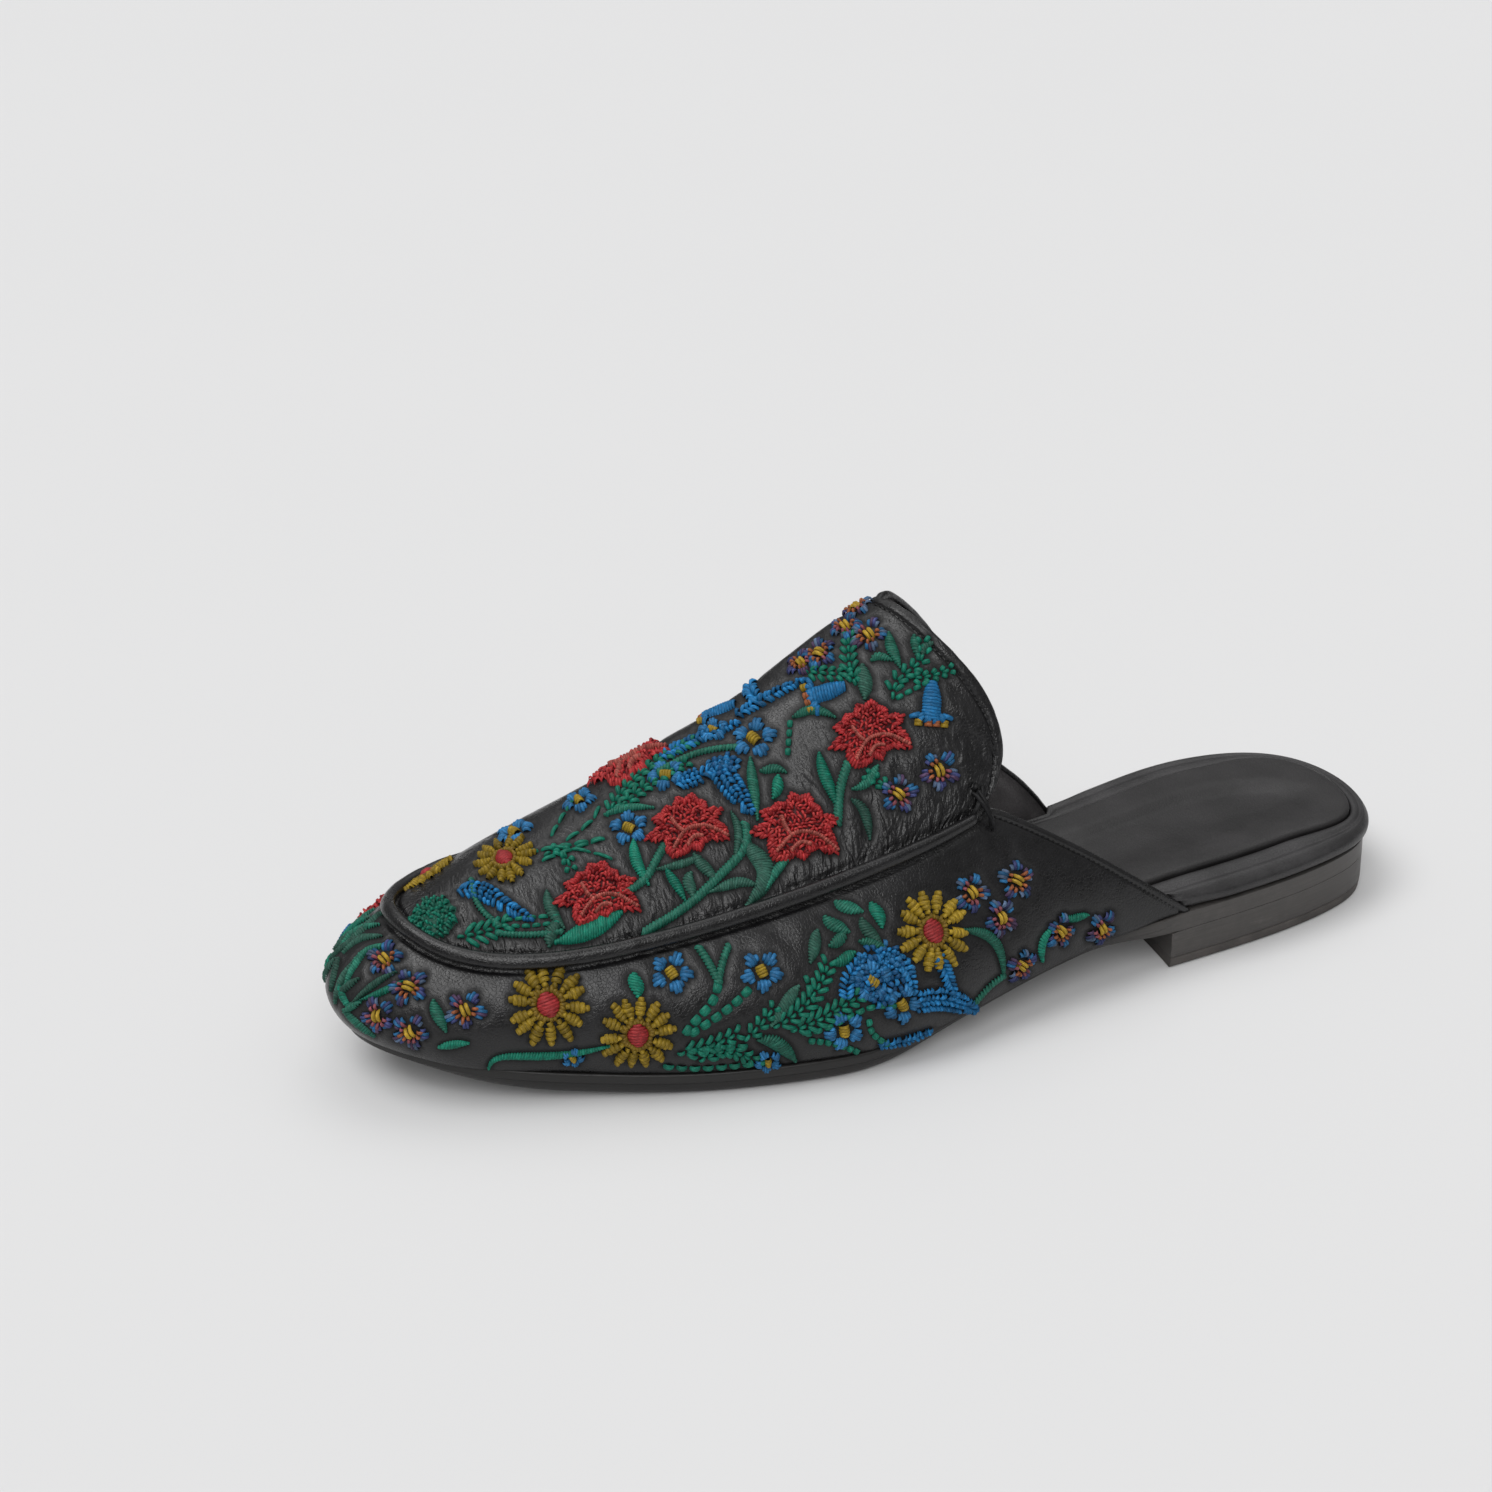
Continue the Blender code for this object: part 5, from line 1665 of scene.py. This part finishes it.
def filled(patch, kind, outline, pitch, length, width, colours, lift, swirl):
    """Covers the inside of an outline with short stitches that fan outwards, a little at odds."""
    count = len(outline)
    reach = max(outline)
    rows = int(reach / pitch) + 1
    for i in range(-rows, rows + 1):
        for j in range(-rows, rows + 1):
            x = (i + 0.5 * (j % 2)) * pitch + CHANCE.uniform(-0.2, 0.2)
            y = j * pitch * 0.87 + CHANCE.uniform(-0.2, 0.2)
            away = math.hypot(x, y)
            angle = math.atan2(y, x) % (2 * math.pi)
            edge = np.interp(angle * count / (2 * math.pi), range(count + 1), list(outline) + [outline[0]])
            if away > edge - length * 0.25:
                continue
            half = ray(angle + math.radians(CHANCE.uniform(-swirl, swirl))) * length / 2
            middle = np.array((x, y))
            tint = np.array(colours[CHANCE.integers(len(colours))])
            if CHANCE.uniform() > HOLES:
                rise = lift * CHANCE.uniform(0.45, 1.35)
                patch.bar(kind, middle - half, middle + half, width, 0.45, rise, tint)


def carnation(patch, radius):
    """A ragged red flower: spiky lobes filled with short fanned stitches and two paler folded petals."""
    lobes = [radius * share * CHANCE.uniform(0.95, 1.05) for share in CARNATION_LOBES]
    patch.mound([lobe * 0.93 for lobe in lobes], 0.7, RED_DARK)
    filled(patch, "reds", lobes, 0.98, 1.75, 0.6, (RED, RED, RED_DEEP, RED_BRIGHT, RED_BRIGHT), 1.2, 75.0)
    count = len(lobes)
    for k in range(count * 3):
        out = ray(2 * math.pi * k / (count * 3))
        edge = np.interp(k / 3, range(count + 1), lobes + [lobes[0]])
        inner = edge * CHANCE.uniform(0.66, 0.80)
        patch.bar("reds", out * inner, out * edge * 1.03, 0.85, 0.5, CHANCE.uniform(0.6, 1.0), RED)
    for bend in CARNATION_FOLDS:
        stops = np.array(bend) * radius
        knots = np.linspace(0.0, 1.0, len(stops))
        path = spline(knots, stops, np.linspace(0.0, 1.0, 5 * len(stops)))
        for start, end in zip(path, path[1:]):
            across = unit(np.array((start[1] - end[1], end[0] - start[0]))) * radius * 0.07
            tint = np.array(RED_PALE) * CHANCE.uniform(0.6, 1.1)
            patch.bar("reds", start - across, end + across, 0.75, 0.6, 1.6, tint)


def bloom(patch, radius):
    """A dense blue head of short fat stitches."""
    outline = [radius * (1 + 0.12 * math.sin(2.5 * k)) for k in range(16)]
    filled(patch, "blues", outline, 1.5, 1.9, 1.1, (BLUE, BLUE_SOFT, BLUE_DEEP, BLUE_DEEP), 0.8, 60.0)


def thistle(patch, radius):
    """A round green head worked in small wriggling stitches."""
    outline = [radius * (1 + 0.05 * math.sin(3 * k)) for k in range(18)]
    patch.mound(outline, 0.9, GREEN_DEEP)
    filled(patch, "greens", outline, 1.0, 1.5, 0.7, (GREEN, GREEN_SOFT, GREEN), 1.15, 80.0)


def bluebell(patch, length):
    """A satin bell lying on its side: its tube, its turned-back lobes and a bright lip."""
    bars = 12
    for k in range(bars):
        share = k / (bars - 1)
        x = length * (0.64 * share - 0.5)
        half = length * (0.11 + 0.075 * math.sin(math.pi * min(0.75, share)) + 0.07 * share ** 4)
        patch.bar("blues", (x, -half), (x + 0.3, half), length * 0.64 / (bars - 1) * 1.25, 0.4, 0.95, BLUE)
    for y, reach in BELL_LOBES:
        for shift in (-0.045, 0.045):
            patch.bar(
                "blues", (length * 0.08, length * (y * 0.42 + shift)),
                (length * reach, length * (y + shift * 1.4)), 1.15, 0.55, 0.7, BLUE,
            )
    for y, colour in ((-0.24, YELLOW), (-0.05, ORANGE), (0.10, ORANGE), (0.26, YELLOW)):
        for x in (0.22, 0.28):
            patch.bar(
                "daisies", (length * x, length * (y - 0.08)), (length * x, length * (y + 0.08)),
                0.95, 0.5, 0.6, colour,
            )


def stitch_piece(kind, rows, finish):
    """One joined mesh of stitches, each a half-round strand that tapers and dips at its ends."""
    rows = np.array(rows)
    start, end, normal = rows[:, :3], rows[:, 3:6], rows[:, 6:9]
    width, thick, lift = (rows[:, k] for k in (9, 10, 11))
    run = end - start
    length = np.linalg.norm(run, axis=1)
    side = unit(np.cross(normal, run))
    up = unit(np.cross(run, side))
    t = STITCH_STATIONS[None, :]
    arch = (1 - (2 * t - 1) ** 2) ** 0.6
    taper = 0.5 + 0.5 * arch ** 0.5
    ends = SINK * (1 - arch)
    middle = start[:, None] + run[:, None] * t[..., None]
    middle += up[:, None] * (lift[:, None] * arch - ends - BEDDING)[..., None]
    cos = np.cos(STITCH_ARC)
    sin = np.sin(STITCH_ARC)
    points = (
        middle[:, :, None]
        + side[:, None, None] * (width[:, None] / 2 * taper)[..., None, None] * cos[:, None]
        + up[:, None, None] * ((thick[:, None] * taper)[..., None] * sin)[..., None]
    )
    count, stations, arc = points.shape[:3]
    quads = quads_of(np.arange(count * stations * arc).reshape(count, stations, arc))
    piece = mesh_piece("embroidery_" + kind, points.reshape(-1, 3), quads, finish)
    add_colours(piece, np.repeat(rows[:, 12:15], stations * arc, axis=0))
    flat = np.empty(points.shape[:3] + (2,))
    flat[..., 0] = (t * length[:, None] + np.arange(count)[:, None] * MAP_SHIFT[0])[..., None]
    flat[..., 1] = width[:, None, None] * STITCH_ARC / 3 + (np.arange(count) * MAP_SHIFT[1])[:, None, None]
    add_flat(piece, flat.reshape(-1, 2))
    return piece


def underlay_piece(mounds, finish):
    """The padding under the closely filled flowers, as one joined mesh."""
    points, faces, colours = [], [], []
    for spots, quads, colour in mounds:
        shift = len(points)
        points.extend(spots)
        faces.extend([[index + shift for index in quad] for quad in quads])
        colours.extend([colour] * len(spots))
    piece = mesh_piece("embroidery_underlay", np.array(points), faces, finish)
    add_colours(piece, np.array(colours))
    add_flat(piece, np.array(points)[:, :2])
    return piece


def embroider(cloth):
    """Works every motif of the tables into the cloth, larger flowers over the stems."""
    for work, lines in ((cord, CORDS), (dashes, DASHES), (sprig, SPRIGS), (leaf, LEAVES), (spike, SPIKES)):
        for line in lines:
            work(cloth, *line)
    for work, places in (
        (thistle, THISTLES), (bloom, BLOOMS), (carnation, CARNATIONS), (bluebell, BELLS),
        (pansy, PANSIES), (flower, FLOWERS), (daisy, DAISIES),
    ):
        for u, w, size, turn, *more in places:
            work(Patch(cloth, u, w, turn), size, *more)


def hem_stitches(cloth):
    """The row of small black stitches that holds the turned hem."""
    from_edge = along_rows(cloth.grid)
    half = RIBS // 2
    for side in (slice(0, half), slice(RIBS - 1, half, -1)):
        spots, normals = [], []
        for row in range(1, cloth.grid.shape[1]):
            reach = from_edge[side, row]
            spots.append([np.interp(HEM, reach, column) for column in cloth.grid[side, row].T])
            normals.append([np.interp(HEM, reach, column) for column in cloth.normals[side, row].T])
        spots = np.array(spots)
        at = np.arange(1.0, lengths_along(spots)[-1], HEM_STITCH / 3)
        line = resampled(spots, at)
        up = unit(resampled(spots, at, np.array(normals)))
        for k in range(0, len(line) - 3, 3):
            cloth.sew("seams", line[k], line[k + 3], up[k], 0.5, 0.22, 0.10, BLACK_THREAD)


def tack_stitches(cloth):
    """The heavy black tack that closes each end of the apron seam, high where it crosses the piping."""
    for inner in (False, True):
        for a, b in TACKS:
            (start, before), (end, after) = (cloth.at(20 - u if inner else u, w) for u, w in (a, b))
            lift = 2.4 if abs(a[1] - b[1]) > 0.2 else 0.9
            cloth.sew("seams", start, end, unit(before + after), 1.15, 0.9, lift, BLACK_THREAD)


def aimed(name, data, location, back):
    """A lamp or a camera at a place, with the direction back behind it."""
    made = in_scene(name, data)
    made.location = location
    made.rotation_mode = "QUATERNION"
    made.rotation_quaternion = (-Vector(back)).to_track_quat("-Z", "Y")
    return made


def build_studio():
    """Pale lit floor, surroundings brightest overhead, and broad soft lights."""
    corners = [(FLOOR_REACH * x, FLOOR_REACH * y, 0) for x, y in ((-1, -1), (1, -1), (1, 1), (-1, 1))]
    mesh = bpy.data.meshes.new("floor")
    mesh.from_pydata(corners, [], [(0, 1, 2, 3)])
    mesh.materials.append(floor_finish())
    floor = in_scene("floor", mesh)
    floor.location.z = FLOOR_LEVEL
    world = bpy.data.worlds.new("studio")
    world.use_nodes = True
    tree = world.node_tree
    background = tree.nodes["Background"]
    background.inputs["Color"].default_value = (*WHITE, 1.0)
    height = tree.nodes.new("ShaderNodeSeparateXYZ")
    tree.links.new(tree.nodes.new("ShaderNodeTexCoord").outputs["Generated"], height.inputs["Vector"])
    glow = tree.nodes.new("ShaderNodeMapRange")
    glow.inputs["To Min"].default_value = WORLD_LOW
    glow.inputs["To Max"].default_value = WORLD_HIGH
    tree.links.new(height.outputs["Z"], glow.inputs["Value"])
    tree.links.new(glow.outputs["Result"], background.inputs["Strength"])
    bpy.context.scene.world = world
    for name, source, width, strength in LAMPS:
        light = bpy.data.lights.new(name, "SUN")
        light.angle = math.radians(width)
        light.energy = strength
        aimed(name, light, source, source)


def build_camera():
    """The photo's view of the shoe."""
    azimuth, elevation = (math.radians(angle) for angle in CAMERA_ANGLES)
    back = Vector((
        math.sin(azimuth) * math.cos(elevation),
        -math.cos(azimuth) * math.cos(elevation),
        math.sin(elevation),
    ))
    lens = bpy.data.cameras.new("camera")
    lens.lens = CAMERA_LENS
    lens.sensor_width = SENSOR_WIDTH
    lens.clip_start = 0.01
    place = Vector(LOOK_AT) + back * CAMERA_DISTANCE
    bpy.context.scene.camera = aimed("camera", lens, place, back)


def build_shoe():
    """Every piece of the shoe, built over the frame's solids, which are hidden."""
    grid, outward = upper_lattice()
    normals = lattice_normals(grid)
    grid = grid + normals * relief(grid)[..., None]
    normals = lattice_normals(grid)
    piping = build_piping(grid, normals, leather("piping leather", BLACK_LEATHER, 0.27, 0.8))
    grid = grid - normals * seam_crease(grid)[..., None]
    normals = lattice_normals(grid)
    cloth = Cloth(grid, normals)
    embroider(cloth)
    motifs = cloth.places_sewn()
    hem_stitches(cloth)
    tack_stitches(cloth)
    upper_finish = leather("upper leather", BLACK_LEATHER, 0.29, 0.9, wrinkled=True)
    outer = build_outer(grid, normals, outward, motifs, upper_finish)
    lining = build_lining(grid, normals, leather("lining leather", LINING_LEATHER, 0.5))
    pieces = [outer, lining]
    for kind, rows in cloth.sewn.items():
        pieces.append(stitch_piece(kind, rows, thread(kind + " thread")))
    pieces.append(underlay_piece(cloth.mounds, thread("padding thread")))
    for piece in pieces:
        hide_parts("upper")
    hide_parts("apron_piping")
    footbed = build_footbed(leather("footbed leather", FOOTBED_LEATHER, 0.42, 0.8))
    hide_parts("footbed")
    pad = build_pad(leather("sock leather", SOCK_LEATHER, 0.5, 0.7, dusty=0.10))
    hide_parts("sock_pad")
    outsole = build_outsole(edge_leather("burnished sole edge", *STACKED_LEATHER, 0.42, 0.35, 0.16))
    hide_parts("outsole")
    block, lift = build_heel(
        edge_leather("stacked heel leather", *STACKED_LEATHER, 0.46, 0.35),
        rubber("top lift rubber", LIFT_RUBBER),
    )
    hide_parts("heel_block")
    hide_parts("top_lift")


build_camera()
build_studio()
build_shoe()
bpy.context.scene.view_settings.view_transform = "Standard"
